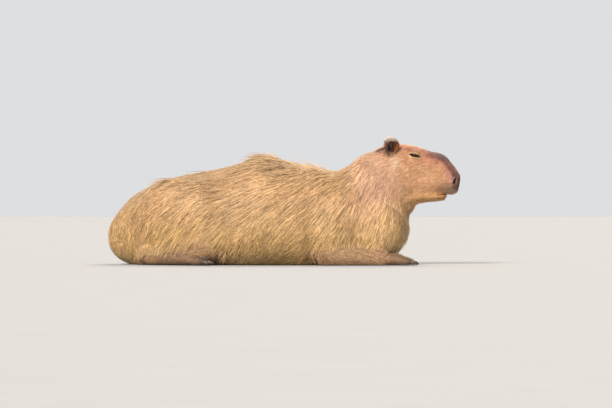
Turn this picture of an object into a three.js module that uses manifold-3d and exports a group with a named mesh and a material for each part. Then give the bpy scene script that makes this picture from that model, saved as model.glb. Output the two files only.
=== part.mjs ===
// A life-size capybara lying on its belly with its head raised, in millimetres.
// x points from the rump to the nose, y to the animal's left and z up from the floor. Pieces are
// laid out from the tip of the nose, and the whole is then moved over the middle of its footprint.
import * as THREE from "three";
import { mergeVertices } from "three/addons/utils/BufferGeometryUtils.js";
import Module from "manifold-3d";

const wasm = await Module();
wasm.setup();

// Driving dimensions.
const headLength = 285; // nose to the back of the skull
const headDepth = 183; // jaw angle to the crown
const headWidth = 150; // across the cheeks
const jawHeight = 170; // floor to the jaw angle
const chestReach = 150; // nose back to the front of the chest
const trunkLength = 892; // chest to rump
const backHeight = 316; // floor to the top of the back, under the coat
const trunkWidth = 368; // across the belly
const rumpSway = 130; // how far the rump lies to the left of the head's own line
const swayStart = 300; // where the spine starts to bend, behind the nose
const eyeRadius = 12.5;
const gap = 0.35; // clearance between neighbouring pieces

const turn = 2 * Math.PI;
const sides = { right: -1, left: 1 };

// The spine bends gently to the left behind the neck.
function sway(x) {
  const share = Math.max(0, -swayStart - x) / (chestReach + trunkLength - swayStart);
  return rumpSway * share * share;
}

// A smooth track through rows of named sizes, read at a share of its length.
function trackOf(rows, keys) {
  const stops = rows.map((row, i) => i / (rows.length - 1));
  const track = new THREE.CubicInterpolant(stops, rows.flatMap((row) => keys.map((key) => row[key])), keys.length);
  return (share) => [...track.evaluate(share)];
}

// Pushes a point out from the heart of its section inside each soft-edged swelling.
function swelled(point, heart, swellings) {
  const way = point.clone().sub(heart).normalize();
  for (const { at, reach, push } of swellings) {
    const far = Math.hypot(
      (point.x - at[0]) / reach[0],
      (Math.abs(point.y - sway(point.x)) - at[1]) / reach[1],
      (point.z - at[2]) / reach[2],
    );
    const share = Math.max(0, 1 - far * far);
    point.addScaledVector(way, push * share * share);
  }
  return point;
}

// A run of upright sections along x. Each is an oval that may be squarer above and below.
function barrel(rows, { above = 1, below = 1, heart = 0, swellings = [] }) {
  const read = trackOf(rows, ["x", "top", "mid", "bottom", "half"]);
  return {
    at(along, around) {
      const [x, top, mid, bottom, half] = read(along);
      const across = Math.sin(around);
      const up = -Math.cos(around);
      const bend = up > 0 ? above : below;
      const height = (up > 0 ? top - mid : mid - bottom) * Math.abs(up) ** bend;
      const width = half * Math.abs(across) ** bend;
      const point = new THREE.Vector3(x, sway(x) + Math.sign(across) * width, mid + Math.sign(up) * height);
      const middle = new THREE.Vector3(Math.min(x, heart), sway(x), mid);
      return swelled(point, middle, swellings);
    },
  };
}

// A limb's surface: ovals across a smooth path, rounded off over a share of its length at each end.
function tube(stops, roundStart, roundEnd) {
  const path = new THREE.CatmullRomCurve3(stops.map((stop) => new THREE.Vector3(...stop.at)));
  const read = trackOf(stops, ["wide", "high"]);
  const section = (share) => {
    const ahead = path.getTangent(share);
    const across = new THREE.Vector3(0, 1, 0).addScaledVector(ahead, -ahead.y).normalize();
    const start = Math.max(0, 1 - share / roundStart);
    const end = Math.max(0, 1 - (1 - share) / roundEnd);
    const size = Math.sqrt(Math.max(0, 1 - start * start)) * Math.sqrt(Math.max(0, 1 - end * end));
    const [wide, high] = read(share).map((full) => (full * size) / 2);
    return { middle: path.getPoint(share), ahead, across, up: across.clone().cross(ahead), wide, high };
  };
  const slices = Array.from({ length: 25 }, (unused, i) => section(i / 24));
  return {
    heart: (along) => path.getPoint((1 - Math.cos(Math.PI * along)) / 2),
    at(along, around) {
      const { middle, across, up, wide, high } = section((1 - Math.cos(Math.PI * along)) / 2);
      return middle.addScaledVector(across, Math.sin(around) * wide).addScaledVector(up, -Math.cos(around) * high);
    },
    holds(point, margin) {
      return slices.some((slice) => {
        const apart = point.clone().sub(slice.middle);
        const off = [apart.dot(slice.across) / (slice.wide + margin), apart.dot(slice.up) / (slice.high + margin)];
        return Math.abs(apart.dot(slice.ahead)) < 12 && Math.hypot(...off) < 1;
      });
    },
  };
}

// A ball's closed net of faces carried onto a surface, from the pole where along is 0 to the other.
function netOf(surface, around, along) {
  const ball = new THREE.SphereGeometry(1, around, along);
  const places = ball.getAttribute("position");
  const chart = ball.getAttribute("uv");
  for (let i = 0; i < places.count; i++) {
    const point = surface.at(1 - chart.getY(i), chart.getX(i) * turn);
    places.setXYZ(i, point.x, point.y, point.z);
  }
  return ball;
}

function welded(geometry) {
  const bare = new THREE.BufferGeometry().setAttribute("position", geometry.getAttribute("position"));
  bare.setIndex(geometry.index);
  return mergeVertices(bare, 1e-3);
}

function solidOf(geometry) {
  const mesh = welded(geometry);
  return new wasm.Manifold(
    new wasm.Mesh({
      numProp: 3,
      vertProperties: mesh.getAttribute("position").array,
      triVerts: new Uint32Array(mesh.index.array),
    }),
  );
}

function geometryOf(solid) {
  const { numProp, numVert, vertProperties, triVerts } = solid.getMesh();
  const places = new Float32Array(numVert * 3);
  for (let i = 0; i < numVert; i++) places.set(vertProperties.subarray(i * numProp, i * numProp + 3), i * 3);
  const geometry = new THREE.BufferGeometry().setAttribute("position", new THREE.BufferAttribute(places, 3));
  geometry.setIndex(new THREE.BufferAttribute(triVerts, 1));
  geometry.computeVertexNormals();
  return geometry;
}

// The same geometry with its faces moved out, to cut a neighbour clear of it.
function clearance(geometry) {
  const mesh = welded(geometry);
  mesh.computeVertexNormals();
  const places = mesh.getAttribute("position");
  const normals = mesh.getAttribute("normal");
  for (let i = 0; i < places.count; i++) {
    places.setXYZ(
      i,
      places.getX(i) + normals.getX(i) * gap,
      places.getY(i) + normals.getY(i) * gap,
      places.getZ(i) + normals.getZ(i) * gap,
    );
  }
  return mesh;
}

const union = (solids) => wasm.Manifold.union(solids);

// A piece is its solid and the slightly larger room that its neighbours leave for it.
function pieceOf(geometry) {
  const solid = solidOf(geometry);
  return { solid, room: union([solid, solidOf(clearance(geometry))]) };
}

function fused(pieces) {
  return { solid: union(pieces.map((piece) => piece.solid)), room: union(pieces.map((piece) => piece.room)) };
}

function largestOf(solid) {
  return solid.decompose().sort((a, b) => b.volume() - a.volume())[0];
}

// Sections of the trunk. at is a share of trunkLength from the chest; top, mid and bottom are shares
// of backHeight, and wide a share of trunkWidth. The belly dips below the floor and is cut flat.
const trunkRows = [
  { at: 0, top: 0.38, mid: 0.38, bottom: 0.38, wide: 0 },
  { at: 0.01, top: 0.54, mid: 0.38, bottom: 0.24, wide: 0.27 },
  { at: 0.04, top: 0.72, mid: 0.39, bottom: 0.09, wide: 0.49 },
  { at: 0.1, top: 0.79, mid: 0.4, bottom: -0.01, wide: 0.64 },
  { at: 0.19, top: 0.81, mid: 0.4, bottom: -0.03, wide: 0.72 },
  { at: 0.28, top: 0.865, mid: 0.4, bottom: -0.04, wide: 0.78 },
  { at: 0.36, top: 0.915, mid: 0.4, bottom: -0.04, wide: 0.86 },
  { at: 0.42, top: 0.965, mid: 0.4, bottom: -0.04, wide: 0.92 },
  { at: 0.48, top: 1, mid: 0.39, bottom: -0.04, wide: 0.96 },
  { at: 0.53, top: 0.975, mid: 0.38, bottom: -0.04, wide: 0.98 },
  { at: 0.6, top: 0.915, mid: 0.37, bottom: -0.04, wide: 0.97 },
  { at: 0.7, top: 0.845, mid: 0.36, bottom: -0.04, wide: 0.9 },
  { at: 0.8, top: 0.755, mid: 0.34, bottom: -0.04, wide: 0.82 },
  { at: 0.88, top: 0.65, mid: 0.33, bottom: -0.03, wide: 0.72 },
  { at: 0.95, top: 0.5, mid: 0.3, bottom: 0.04, wide: 0.54 },
  { at: 0.99, top: 0.37, mid: 0.27, bottom: 0.14, wide: 0.27 },
  { at: 1, top: 0.27, mid: 0.27, bottom: 0.27, wide: 0 },
].map(({ at, top, mid, bottom, wide }) => ({
  x: -chestReach - at * trunkLength,
  top: top * backHeight,
  mid: mid * backHeight,
  bottom: bottom * backHeight,
  half: (wide * trunkWidth) / 2,
}));

const trunkSwellings = [
  { at: [-415, 70, 262], reach: [75, 60, 60], push: 7 }, // shoulder blade
  { at: [-885, 75, 225], reach: [70, 50, 60], push: 7 }, // hip bone
  { at: [-650, 190, 150], reach: [75, 90, 100], push: -9 }, // hollow of the flank
];

// Sections of the neck: shares of headLength behind the nose, of headDepth above the jaw and of headWidth.
const neckRows = [
  { at: 0.53, top: 0.4, mid: 0.4, bottom: 0.4, wide: 0 },
  { at: 0.58, top: 0.84, mid: 0.38, bottom: 0, wide: 0.84 },
  { at: 0.7, top: 0.95, mid: 0.34, bottom: -0.1, wide: 1.06 },
  { at: 0.86, top: 0.885, mid: 0.25, bottom: -0.34, wide: 1.24 },
  { at: 1.04, top: 0.75, mid: 0.12, bottom: -0.6, wide: 1.44 },
  { at: 1.21, top: 0.56, mid: -0.05, bottom: -0.8, wide: 1.64 },
  { at: 1.4, top: 0.48, mid: -0.15, bottom: -0.85, wide: 1.7 },
  { at: 1.56, top: -0.1, mid: -0.1, bottom: -0.1, wide: 0 },
];

// Sections of the skull and muzzle, and of the lower jaw, in the same shares.
const skullRows = [
  { at: 0, top: 0.44, mid: 0.44, bottom: 0.44, wide: 0 },
  { at: 0.006, top: 0.52, mid: 0.43, bottom: 0.32, wide: 0.42 },
  { at: 0.025, top: 0.59, mid: 0.425, bottom: 0.25, wide: 0.57 },
  { at: 0.065, top: 0.67, mid: 0.425, bottom: 0.212, wide: 0.66 },
  { at: 0.135, top: 0.785, mid: 0.435, bottom: 0.2, wide: 0.71 },
  { at: 0.22, top: 0.86, mid: 0.44, bottom: 0.19, wide: 0.73 },
  { at: 0.32, top: 0.907, mid: 0.43, bottom: 0.13, wide: 0.76 },
  { at: 0.415, top: 0.95, mid: 0.405, bottom: 0.08, wide: 0.81 },
  { at: 0.495, top: 0.98, mid: 0.385, bottom: 0.04, wide: 0.87 },
  { at: 0.58, top: 1, mid: 0.37, bottom: 0.01, wide: 0.94 },
  { at: 0.71, top: 1, mid: 0.37, bottom: -0.02, wide: 1 },
  { at: 0.825, top: 0.935, mid: 0.37, bottom: -0.04, wide: 0.98 },
  { at: 0.93, top: 0.79, mid: 0.37, bottom: -0.03, wide: 0.83 },
  { at: 1, top: 0.37, mid: 0.37, bottom: 0.37, wide: 0 },
];

const jawRows = [
  { at: 0.112, top: 0.175, mid: 0.175, bottom: 0.175, wide: 0 },
  { at: 0.122, top: 0.225, mid: 0.18, bottom: 0.13, wide: 0.28 },
  { at: 0.16, top: 0.27, mid: 0.185, bottom: 0.108, wide: 0.47 },
  { at: 0.24, top: 0.3, mid: 0.19, bottom: 0.093, wide: 0.6 },
  { at: 0.33, top: 0.32, mid: 0.19, bottom: 0.083, wide: 0.69 },
  { at: 0.43, top: 0.33, mid: 0.18, bottom: 0.06, wide: 0.76 },
  { at: 0.56, top: 0.35, mid: 0.17, bottom: 0.02, wide: 0.84 },
  { at: 0.7, top: 0.35, mid: 0.17, bottom: -0.03, wide: 0.85 },
  { at: 0.88, top: 0.17, mid: 0.17, bottom: 0.17, wide: 0 },
];

function headSized({ at, top, mid, bottom, wide }) {
  return {
    x: -at * headLength,
    top: jawHeight + top * headDepth,
    mid: jawHeight + mid * headDepth,
    bottom: jawHeight + bottom * headDepth,
    half: (wide * headWidth) / 2,
  };
}

const headSwellings = [
  { at: [-140, 42, 342], reach: [36, 24, 22], push: 4 }, // brow
  { at: [-185, 74, 235], reach: [62, 40, 56], push: 6 }, // chewing muscle
  { at: [-100, 58, 268], reach: [34, 30, 26], push: -4 }, // hollow ahead of the cheek
  { at: [-34, 50, 236], reach: [34, 30, 34], push: 4 }, // whisker pad
  { at: [-44, 0, 318], reach: [36, 32, 26], push: 2 }, // scent gland on the snout
  { at: [-4, 0, 226], reach: [16, 40, 10], push: -3 }, // crease under the nose
];

// The floor and the parting planes are large blocks. A plane runs across the animal through two
// points of its side view, with everything ahead of and above it inside the block.
const blockSize = 3000;

function aheadOf([lowX, lowZ], [highX, highZ], back) {
  const lean = Math.atan2(lowX - highX, highZ - lowZ);
  const block = new THREE.BoxGeometry(blockSize, blockSize, blockSize);
  block.translate(blockSize / 2 - back, 0, 0);
  block.rotateY(-lean);
  block.translate((lowX + highX) / 2, 0, (lowZ + highZ) / 2);
  return solidOf(block);
}

const underFloor = solidOf(new THREE.BoxGeometry(blockSize, blockSize, blockSize).translate(0, 0, -blockSize / 2));
const napeCut = [
  [-160, 168],
  [-245, 345],
];
const shoulderCut = [
  [-135, 140],
  [-352, 278],
];

// Eyes, lids and the slit between them.
const eyeAt = { x: -136, y: 43, z: 320 };
const lidSlope = 0.34; // the slit falls towards the nose, in radians
const slitLength = 27;
const slitHeight = 3;

function ovalBall([lengthX, lengthY, lengthZ], around = 16, along = 10) {
  return new THREE.SphereGeometry(0.5, around, along).scale(lengthX, lengthY, lengthZ);
}

function eyeball(side) {
  const ball = ovalBall([2 * eyeRadius, 2 * eyeRadius, 2 * eyeRadius], 12, 8);
  return pieceOf(ball.translate(eyeAt.x, side * eyeAt.y, eyeAt.z));
}

function lids(side) {
  const dome = ovalBall([40, 33, 31], 12, 8);
  return solidOf(dome.rotateY(lidSlope).translate(eyeAt.x, side * (eyeAt.y - 1), eyeAt.z - 0.5));
}

// A sliver with pointed ends, pushed through the lids from outside.
function lidSlit(side) {
  const outline = new THREE.Shape();
  outline.moveTo(-slitLength / 2, 0);
  outline.quadraticCurveTo(0, slitHeight, slitLength / 2, 0);
  outline.quadraticCurveTo(0, -slitHeight, -slitLength / 2, 0);
  const cutter = new THREE.ExtrudeGeometry(outline, { depth: 40, bevelEnabled: false, curveSegments: 4 });
  cutter.rotateX(Math.PI / 2); // the outline now lies across y
  cutter.rotateY(lidSlope);
  return solidOf(cutter.translate(eyeAt.x, side > 0 ? eyeAt.y + 42 : -eyeAt.y - 2, eyeAt.z));
}

// Ears are short cups, wider above than at the root, open to the side.
const earAt = { x: -201, y: 50, z: 320 };
const earLean = 0.42; // outwards, in radians

function earShell([lengthX, lengthY, lengthZ], lift, out) {
  const shell = ovalBall([lengthX, lengthY, lengthZ], 12, 8);
  const places = shell.getAttribute("position");
  for (let i = 0; i < places.count; i++) {
    const high = (places.getZ(i) + lengthZ / 2) / lengthZ;
    places.setX(i, places.getX(i) * (0.42 + 0.62 * high));
  }
  return shell.translate(0, out, lift);
}

function ear(side) {
  const place = (geometry) => {
    geometry.rotateX(-side * earLean).rotateZ(side * 0.25);
    return geometry.translate(earAt.x, side * earAt.y, earAt.z);
  };
  const outer = place(earShell([50, 25, 68], 24, 0));
  const hollow = solidOf(place(earShell([40, 24, 52], 28, side * 10)));
  const solid = solidOf(outer).subtract(hollow);
  return { solid, room: solidOf(clearance(outer)) };
}

// Nostrils are slanting pits at the corners of the nose; the mouth is a thin curved parting.
function nostril(side) {
  const pit = ovalBall([18, 9, 24], 8, 6);
  return solidOf(pit.rotateX(side * 0.3).rotateY(0.25).translate(-7, side * 28, 247));
}

function mouthLine() {
  const outline = new THREE.Shape();
  outline.moveTo(-62, 213);
  outline.quadraticCurveTo(-36, 204, 14, 207.5);
  outline.lineTo(14, 205.7);
  outline.quadraticCurveTo(-36, 201.5, -64, 210);
  outline.lineTo(-62, 213);
  const parting = new THREE.ExtrudeGeometry(outline, { depth: 200, bevelEnabled: false, curveSegments: 6 });
  parting.rotateX(Math.PI / 2);
  return solidOf(parting.translate(0, 100, 0));
}

// Legs, folded under and beside the body, as stops along each bone with the flesh's width and height.
function legStop(side, x, y, z, wide, high) {
  return { at: [x, sway(x) + side * y, z], wide, high };
}

function upperForeleg(side) {
  const stops = [
    legStop(side, -318, 74, 226, 84, 128),
    legStop(side, -350, 97, 160, 92, 156),
    legStop(side, -394, 120, 80, 84, 118),
    legStop(side, -420, 126, 34, 68, 88),
  ];
  return tube(stops, 0.3, 0.28);
}

function forearm(side) {
  const stops = [
    legStop(side, -428, 124, 40, 68, 82),
    legStop(side, -350, 121, 35, 68, 76),
    legStop(side, -270, 113, 27, 56, 60),
    legStop(side, -222, 108, 22, 52, 48),
  ];
  return tube(stops, 0.12, 0.1);
}

// Toes spread from a broad pad. Each ends in a blunt claw.
const forefoot = { x: -226, y: 108, splay: 0, pad: 66, wide: 66, high: 38, toes: 4, toe: 46, thick: 22, fan: 0.15 };
const hindfoot = { x: -925, y: 136, splay: 24, pad: 154, wide: 62, high: 44, toes: 3, toe: 58, thick: 25, fan: 0.16 };

function footPad(side, foot) {
  const stops = [0, 0.35, 0.75, 1].map((share, i) => {
    const x = foot.x + share * foot.pad;
    const high = foot.high * [1, 1.02, 0.9, 0.72][i];
    return legStop(side, x, foot.y + share * foot.splay, high / 2 - 2, foot.wide * [0.72, 0.86, 1, 0.98][i], high);
  });
  return tube(stops, 0.16, 0.22);
}

function toePlan(side, foot, number) {
  const middle = (foot.toes - 1) / 2;
  const spread = (number - middle) / middle;
  const heading = side * (spread * foot.fan * middle + foot.splay / foot.pad);
  const length = foot.toe * (1 - 0.16 * spread * spread);
  const rootX = foot.x + foot.pad - 22;
  const rootY = side * (foot.y + foot.splay * 0.9 + spread * foot.wide * 0.36);
  return {
    at(share) {
      const x = rootX + Math.cos(heading) * length * share;
      return [x, sway(x) + rootY + Math.sin(heading) * length * share];
    },
  };
}

function toe(side, foot, number) {
  const plan = toePlan(side, foot, number);
  const stops = [
    [0, 1.15, 1.35],
    [0.5, 1, 1.15],
    [1, 0.9, 0.85],
  ].map(([share, wide, high]) => ({
    at: [...plan.at(share), (foot.thick * high) / 2 - 1.5],
    wide: foot.thick * wide,
    high: foot.thick * high,
  }));
  return pieceOf(netOf(tube(stops, 0.2, 0.22), 6, 4));
}

function claw(side, foot, number) {
  const plan = toePlan(side, foot, number);
  const size = foot.thick;
  const stops = [
    { at: [...plan.at(0.84), size * 0.42], wide: size * 0.62, high: size * 0.6 },
    { at: [...plan.at(1.06), size * 0.34], wide: size * 0.56, high: size * 0.52 },
    { at: [...plan.at(1.24), size * 0.2], wide: size * 0.34, high: size * 0.34 },
  ];
  return pieceOf(netOf(tube(stops, 0.2, 0.2), 5, 4));
}

function foot(side, kind) {
  const toes = Array.from({ length: kind.toes }, (unused, number) => toe(side, kind, number));
  return fused([pieceOf(netOf(footPad(side, kind), 9, 5)), ...toes]);
}

function thigh(side) {
  const stops = [
    legStop(side, -955, 62, 168, 100, 160),
    legStop(side, -872, 100, 152, 132, 236),
    legStop(side, -765, 128, 126, 124, 216),
    legStop(side, -672, 142, 90, 84, 138),
  ];
  return tube(stops, 0.42, 0.4);
}

function shank(side) {
  const stops = [
    legStop(side, -690, 144, 66, 74, 92),
    legStop(side, -790, 144, 50, 66, 78),
    legStop(side, -880, 139, 36, 50, 60),
    legStop(side, -942, 135, 30, 42, 56),
  ];
  return tube(stops, 0.16, 0.14);
}

// The coat lies in flat tapered locks. Each is a three-sided cone carried along the surface it grows
// from: sunk at the root, widest part way along, and lifting towards its tip over the next row.
const coat = { rowStep: 64, spacing: 52, length: 104, width: 52, thick: 5, lowest: 34 };
const lockShape = {
  wide: [0.62, 1, 0.74, 0],
  thick: [1, 1, 0.8, 0],
  lift: [-6, -1.5, 3.5, 9],
};

function seeded(seed) {
  let state = seed;
  return () => {
    state = (state * 1664525 + 1013904223) % 4294967296;
    return state / 4294967296;
  };
}

// How steeply the coat falls towards the tail, in degrees below level, by distance behind the nose.
const lieSlope = new THREE.LinearInterpolant(
  [180, 250, 350, 450, 550, 650, 820, 930, 1000],
  [78, 60, 50, 36, 20, 8, 12, 32, 62],
  1,
);

function lieAt(point) {
  const low = THREE.MathUtils.smoothstep(170 - point.z, 0, 150);
  const slope = THREE.MathUtils.degToRad(lieSlope.evaluate(-point.x)[0] * (1 - low) + 62 * low);
  return new THREE.Vector3(-Math.cos(slope), 0, -Math.sin(slope));
}

// The outer surface of the flesh, found by looking out from the spine. u runs behind the nose, and past
// the hips it turns down over the rump. v runs round from the top of the back.
const hips = 950;
const heartHeight = new THREE.LinearInterpolant([170, 230, 330, 600, 980], [120, 150, 140, 120, 100], 1);

function fleshSkin(geometry) {
  const mesh = new THREE.Mesh(geometry, new THREE.MeshBasicMaterial({ side: THREE.DoubleSide }));
  const caster = new THREE.Raycaster();
  const heart = (u) => {
    const x = -Math.min(u, hips);
    return new THREE.Vector3(x, sway(x), heartHeight.evaluate(-x)[0]);
  };
  return {
    reach: [5, 0.03],
    heart,
    at(u, v) {
      const tilt = Math.max(0, u - hips) / 105;
      const out = new THREE.Vector3(0, Math.sin(v), Math.cos(v)).multiplyScalar(Math.cos(tilt));
      caster.set(heart(u), out.setX(-Math.sin(tilt)));
      return caster.intersectObject(mesh).at(-1)?.point ?? null;
    },
  };
}

// A tube's surface in the same terms.
function limbSkin(limb) {
  return { reach: [0.02, 0.05], heart: limb.heart, at: limb.at };
}

// Stops along the lie from one root, each with its own normal. A strand that would twist is left out.
function strandOf(skin, [startU, startV], length, parts = 3) {
  const stops = [];
  let [u, v] = [startU, startV];
  for (let i = 0; i <= parts; i++) {
    const [stepU, stepV] = skin.reach;
    const around = [skin.at(u + stepU, v), skin.at(u - stepU, v), skin.at(u, v + stepV), skin.at(u, v - stepV)];
    const point = skin.at(u, v);
    if (point === null || around.includes(null)) return null;
    const byU = around[0].clone().sub(around[1]).divideScalar(2 * stepU);
    const byV = around[2].clone().sub(around[3]).divideScalar(2 * stepV);
    const normal = byU.clone().cross(byV).normalize();
    if (normal.dot(point.clone().sub(skin.heart(u))) < 0) normal.negate();
    const ahead = lieAt(point).projectOnPlane(normal).normalize();
    const last = stops.at(-1);
    if (last && (normal.dot(last.normal) < 0.72 || ahead.dot(last.ahead) < 0.72)) return null;
    stops.push({ point, normal, ahead });
    const [uu, uv, vv] = [byU.dot(byU), byU.dot(byV), byV.dot(byV)];
    const [alongU, alongV] = [byU.dot(ahead), byV.dot(ahead)];
    const scale = length / parts / (uu * vv - uv * uv);
    u += (alongU * vv - alongV * uv) * scale;
    v += (alongV * uu - alongU * uv) * scale;
  }
  return stops;
}

function lockOf(stops, width) {
  const parts = stops.length - 1;
  const cone = new THREE.ConeGeometry(1, 1, 3, parts);
  const places = cone.getAttribute("position");
  for (let i = 0; i < places.count; i++) {
    const stage = Math.round((places.getY(i) + 0.5) * parts);
    const { point, normal, ahead } = stops[stage];
    const across = ahead.clone().cross(normal);
    const spoke = Math.hypot(places.getX(i), places.getZ(i));
    const turned = spoke < 1e-6 ? [0, 0] : [places.getX(i) / spoke, places.getZ(i) / spoke];
    const up = turned[1] > 0.5 ? coat.thick : turned[1] * 4;
    const place = point
      .clone()
      .addScaledVector(normal, lockShape.lift[stage] + up * lockShape.thick[stage])
      .addScaledVector(across, (turned[0] / 0.866) * (width / 2) * lockShape.wide[stage]);
    places.setXYZ(i, place.x, place.y, place.z);
  }
  return cone;
}

// Roots in staggered rows round the body, evenly spaced along each row's own arc.
function coatRoots(skin, random) {
  const roots = [];
  let shift = 0.25;
  for (let u = 180; u < hips + 110; u += coat.rowStep) {
    const ring = [];
    let arc = 0;
    let last = null;
    for (let v = -2.4; v < 2.4; v += 0.04) {
      const point = skin.at(u, v);
      if (point === null || point.z < coat.lowest) continue;
      if (last) arc += point.distanceTo(last);
      ring.push({ v, arc });
      last = point;
    }
    const count = Math.round(arc / coat.spacing);
    for (let k = 0; k < count; k++) {
      const target = ((k + shift + (random() - 0.5) * 0.3) / count) * arc;
      const spot = ring.find((stop) => stop.arc >= target) ?? ring.at(-1);
      roots.push([u + (random() - 0.5) * 16, spot.v]);
    }
    shift = 1 - shift;
  }
  return roots;
}

// How far a point lies ahead of a parting plane.
function aheadBy([[lowX, lowZ], [highX, highZ]], point) {
  const lean = Math.atan2(lowX - highX, highZ - lowZ);
  return (point.x - lowX) * Math.cos(lean) + (point.z - lowZ) * Math.sin(lean);
}

// The body's locks, sorted by the node that each one grows from. One that would run into a limb is shorter.
function bodyLocks(flesh, limbs) {
  const random = seeded(29);
  const skin = fleshSkin(geometryOf(flesh));
  const clear = (stops) => !stops.some(({ point }) => limbs.some((limb) => limb.holds(point, 3)));
  const locks = { neck: [], torso: [] };
  for (const root of coatRoots(skin, random)) {
    const size = 0.85 + 0.3 * random();
    const width = coat.width * (0.85 + 0.3 * random());
    const tries = [1, 0.75, 0.55, 0.4].map((share) => strandOf(skin, root, coat.length * size * share));
    const stops = tries.find((strand) => strand && clear(strand));
    if (!stops || aheadBy(napeCut, stops[0].point) > -6) continue;
    const owner = aheadBy(shoulderCut, stops[0].point) > 0 ? "neck" : "torso";
    locks[owner].push(pieceOf(lockOf(stops, width)));
  }
  return locks;
}

// Locks on the side of a limb that faces out. spots are shares along it and turns from straight out.
function limbLocks(side, limb, spots, length, width) {
  const skin = limbSkin(limb);
  const strands = spots.map(([along, off]) => strandOf(skin, [along, side * (Math.PI / 2 + off)], length));
  return strands.filter(Boolean).map((stops) => pieceOf(lockOf(stops, width)));
}

const thighSpots = [0.22, 0.38, 0.54, 0.7].flatMap((along, row) =>
  [-0.7, -0.2, 0.3, 0.8].map((off) => [along, off + 0.13 * (row % 2)]),
);
const sleeveSpots = [0.3, 0.5].flatMap((along) => [-0.35, 0.35].map((off) => [along, off]));

// The flesh of body and head, before it is parted into nodes.
function trunkPiece() {
  const surface = barrel(trunkRows, { above: 0.95, below: 0.78, heart: -chestReach - 40, swellings: trunkSwellings });
  return pieceOf(netOf(surface, 22, 24));
}

function neckPiece() {
  return pieceOf(netOf(barrel(neckRows.map(headSized), { above: 0.95, below: 0.95, heart: -200 }), 20, 12));
}

function skullPiece() {
  const surface = barrel(skullRows.map(headSized), { above: 0.8, below: 0.84, heart: -45, swellings: headSwellings });
  return pieceOf(netOf(surface, 22, 21));
}

function jawPiece() {
  return pieceOf(netOf(barrel(jawRows.map(headSized), { above: 0.9, below: 0.9, heart: -60 }), 16, 10));
}

// Each node's solid, in an order where later ones are cut clear of the room of earlier ones.
function solidNodes() {
  const nodes = new Map();
  const rooms = [];
  const keep = (name, piece) => {
    nodes.set(name, largestOf(piece.solid.subtract(union(rooms))));
    rooms.push(piece.room);
  };
  const legs = Object.entries(sides);
  const eyes = legs.map(([, side]) => eyeball(side));
  const flesh = fused([trunkPiece(), neckPiece(), skullPiece(), jawPiece()]);
  const body = flesh.solid.subtract(underFloor);
  const limbs = legs.flatMap(([, side]) => [
    thigh(side),
    shank(side),
    upperForeleg(side),
    forearm(side),
    footPad(side, hindfoot),
    footPad(side, forefoot),
  ]);
  const locks = bodyLocks(body, limbs);
  const hair = fused([...locks.neck, ...locks.torso]);
  rooms.push(underFloor, flesh.room, hair.room);
  for (const [word, side] of legs) {
    const haunch = limbLocks(side, thigh(side), thighSpots, 92, 50);
    keep(`thigh_${word}`, fused([pieceOf(netOf(thigh(side), 14, 10)), ...haunch]));
    keep(`shank_${word}`, pieceOf(netOf(shank(side), 10, 7)));
    keep(`hind_foot_${word}`, foot(side, hindfoot));
    for (let i = 0; i < hindfoot.toes; i++) keep(`hind_claw_${word}_${i + 1}`, claw(side, hindfoot, i));
    const sleeve = limbLocks(side, upperForeleg(side), sleeveSpots, 80, 44);
    keep(`upper_foreleg_${word}`, fused([pieceOf(netOf(upperForeleg(side), 12, 8)), ...sleeve]));
    keep(`forearm_${word}`, pieceOf(netOf(forearm(side), 10, 7)));
    keep(`forefoot_${word}`, foot(side, forefoot));
    for (let i = 0; i < forefoot.toes; i++) keep(`fore_claw_${word}_${i + 1}`, claw(side, forefoot, i));
  }
  const headSide = aheadOf(...napeCut, -gap / 2);
  const napeRoom = aheadOf(...napeCut, gap / 2);
  const neckSide = aheadOf(...shoulderCut, -gap / 2);
  const shoulderRoom = aheadOf(...shoulderCut, gap / 2);
  const lidded = union([body.intersect(headSide), ...Object.values(sides).map(lids)]);
  const openings = [
    ...eyes.map((eye) => eye.room),
    ...Object.values(sides).flatMap((side) => [lidSlit(side), nostril(side)]),
    mouthLine(),
  ];
  const skull = largestOf(lidded.subtract(union(openings)));
  const skullRoom = skullPiece().room;
  for (const [word, side] of Object.entries(sides)) {
    const cup = ear(side);
    nodes.set(`ear_${word}`, largestOf(cup.solid.subtract(skullRoom)));
    nodes.set(`eye_${word}`, eyes[side > 0 ? 1 : 0].solid);
  }
  nodes.set("head", skull);
  const neckCore = body.intersect(neckSide);
  const neck = union([neckCore, ...locks.neck.map((lock) => lock.solid)]);
  const torso = union([body, ...locks.torso.map((lock) => lock.solid)]).subtract(shoulderRoom);
  nodes.set("neck", largestOf(neck.subtract(napeRoom).subtract(underFloor)));
  nodes.set("torso", largestOf(torso.subtract(union([napeRoom, underFloor, fused(locks.neck).room]))));
  return nodes;
}

// Finishes: warm tan coat, darker skin on the feet, horn claws and dark eyes.
const finishes = {
  coat: new THREE.MeshStandardMaterial({ color: 0xc08f62, roughness: 0.85, metalness: 0 }),
  face: new THREE.MeshStandardMaterial({ color: 0xb98458, roughness: 0.8, metalness: 0 }),
  foot: new THREE.MeshStandardMaterial({ color: 0x6f5240, roughness: 0.8, metalness: 0 }),
  horn: new THREE.MeshStandardMaterial({ color: 0x3b302a, roughness: 0.45, metalness: 0 }),
  eye: new THREE.MeshStandardMaterial({ color: 0x1c120d, roughness: 0.12, metalness: 0 }),
};

function finishOf(name) {
  if (name.includes("claw")) return finishes.horn;
  if (name.startsWith("eye")) return finishes.eye;
  if (name.includes("foot")) return finishes.foot;
  return name === "head" || name.startsWith("ear") ? finishes.face : finishes.coat;
}

function meshOf(name, solid) {
  const mesh = new THREE.Mesh(geometryOf(solid), finishOf(name));
  mesh.name = name;
  return mesh;
}

const capybara = new THREE.Group();
for (const [name, solid] of solidNodes()) capybara.add(meshOf(name, solid));
const footprint = new THREE.Box3().setFromObject(capybara).getCenter(new THREE.Vector3());
capybara.position.set(-footprint.x, -footprint.y, 0);

export default capybara;
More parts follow.
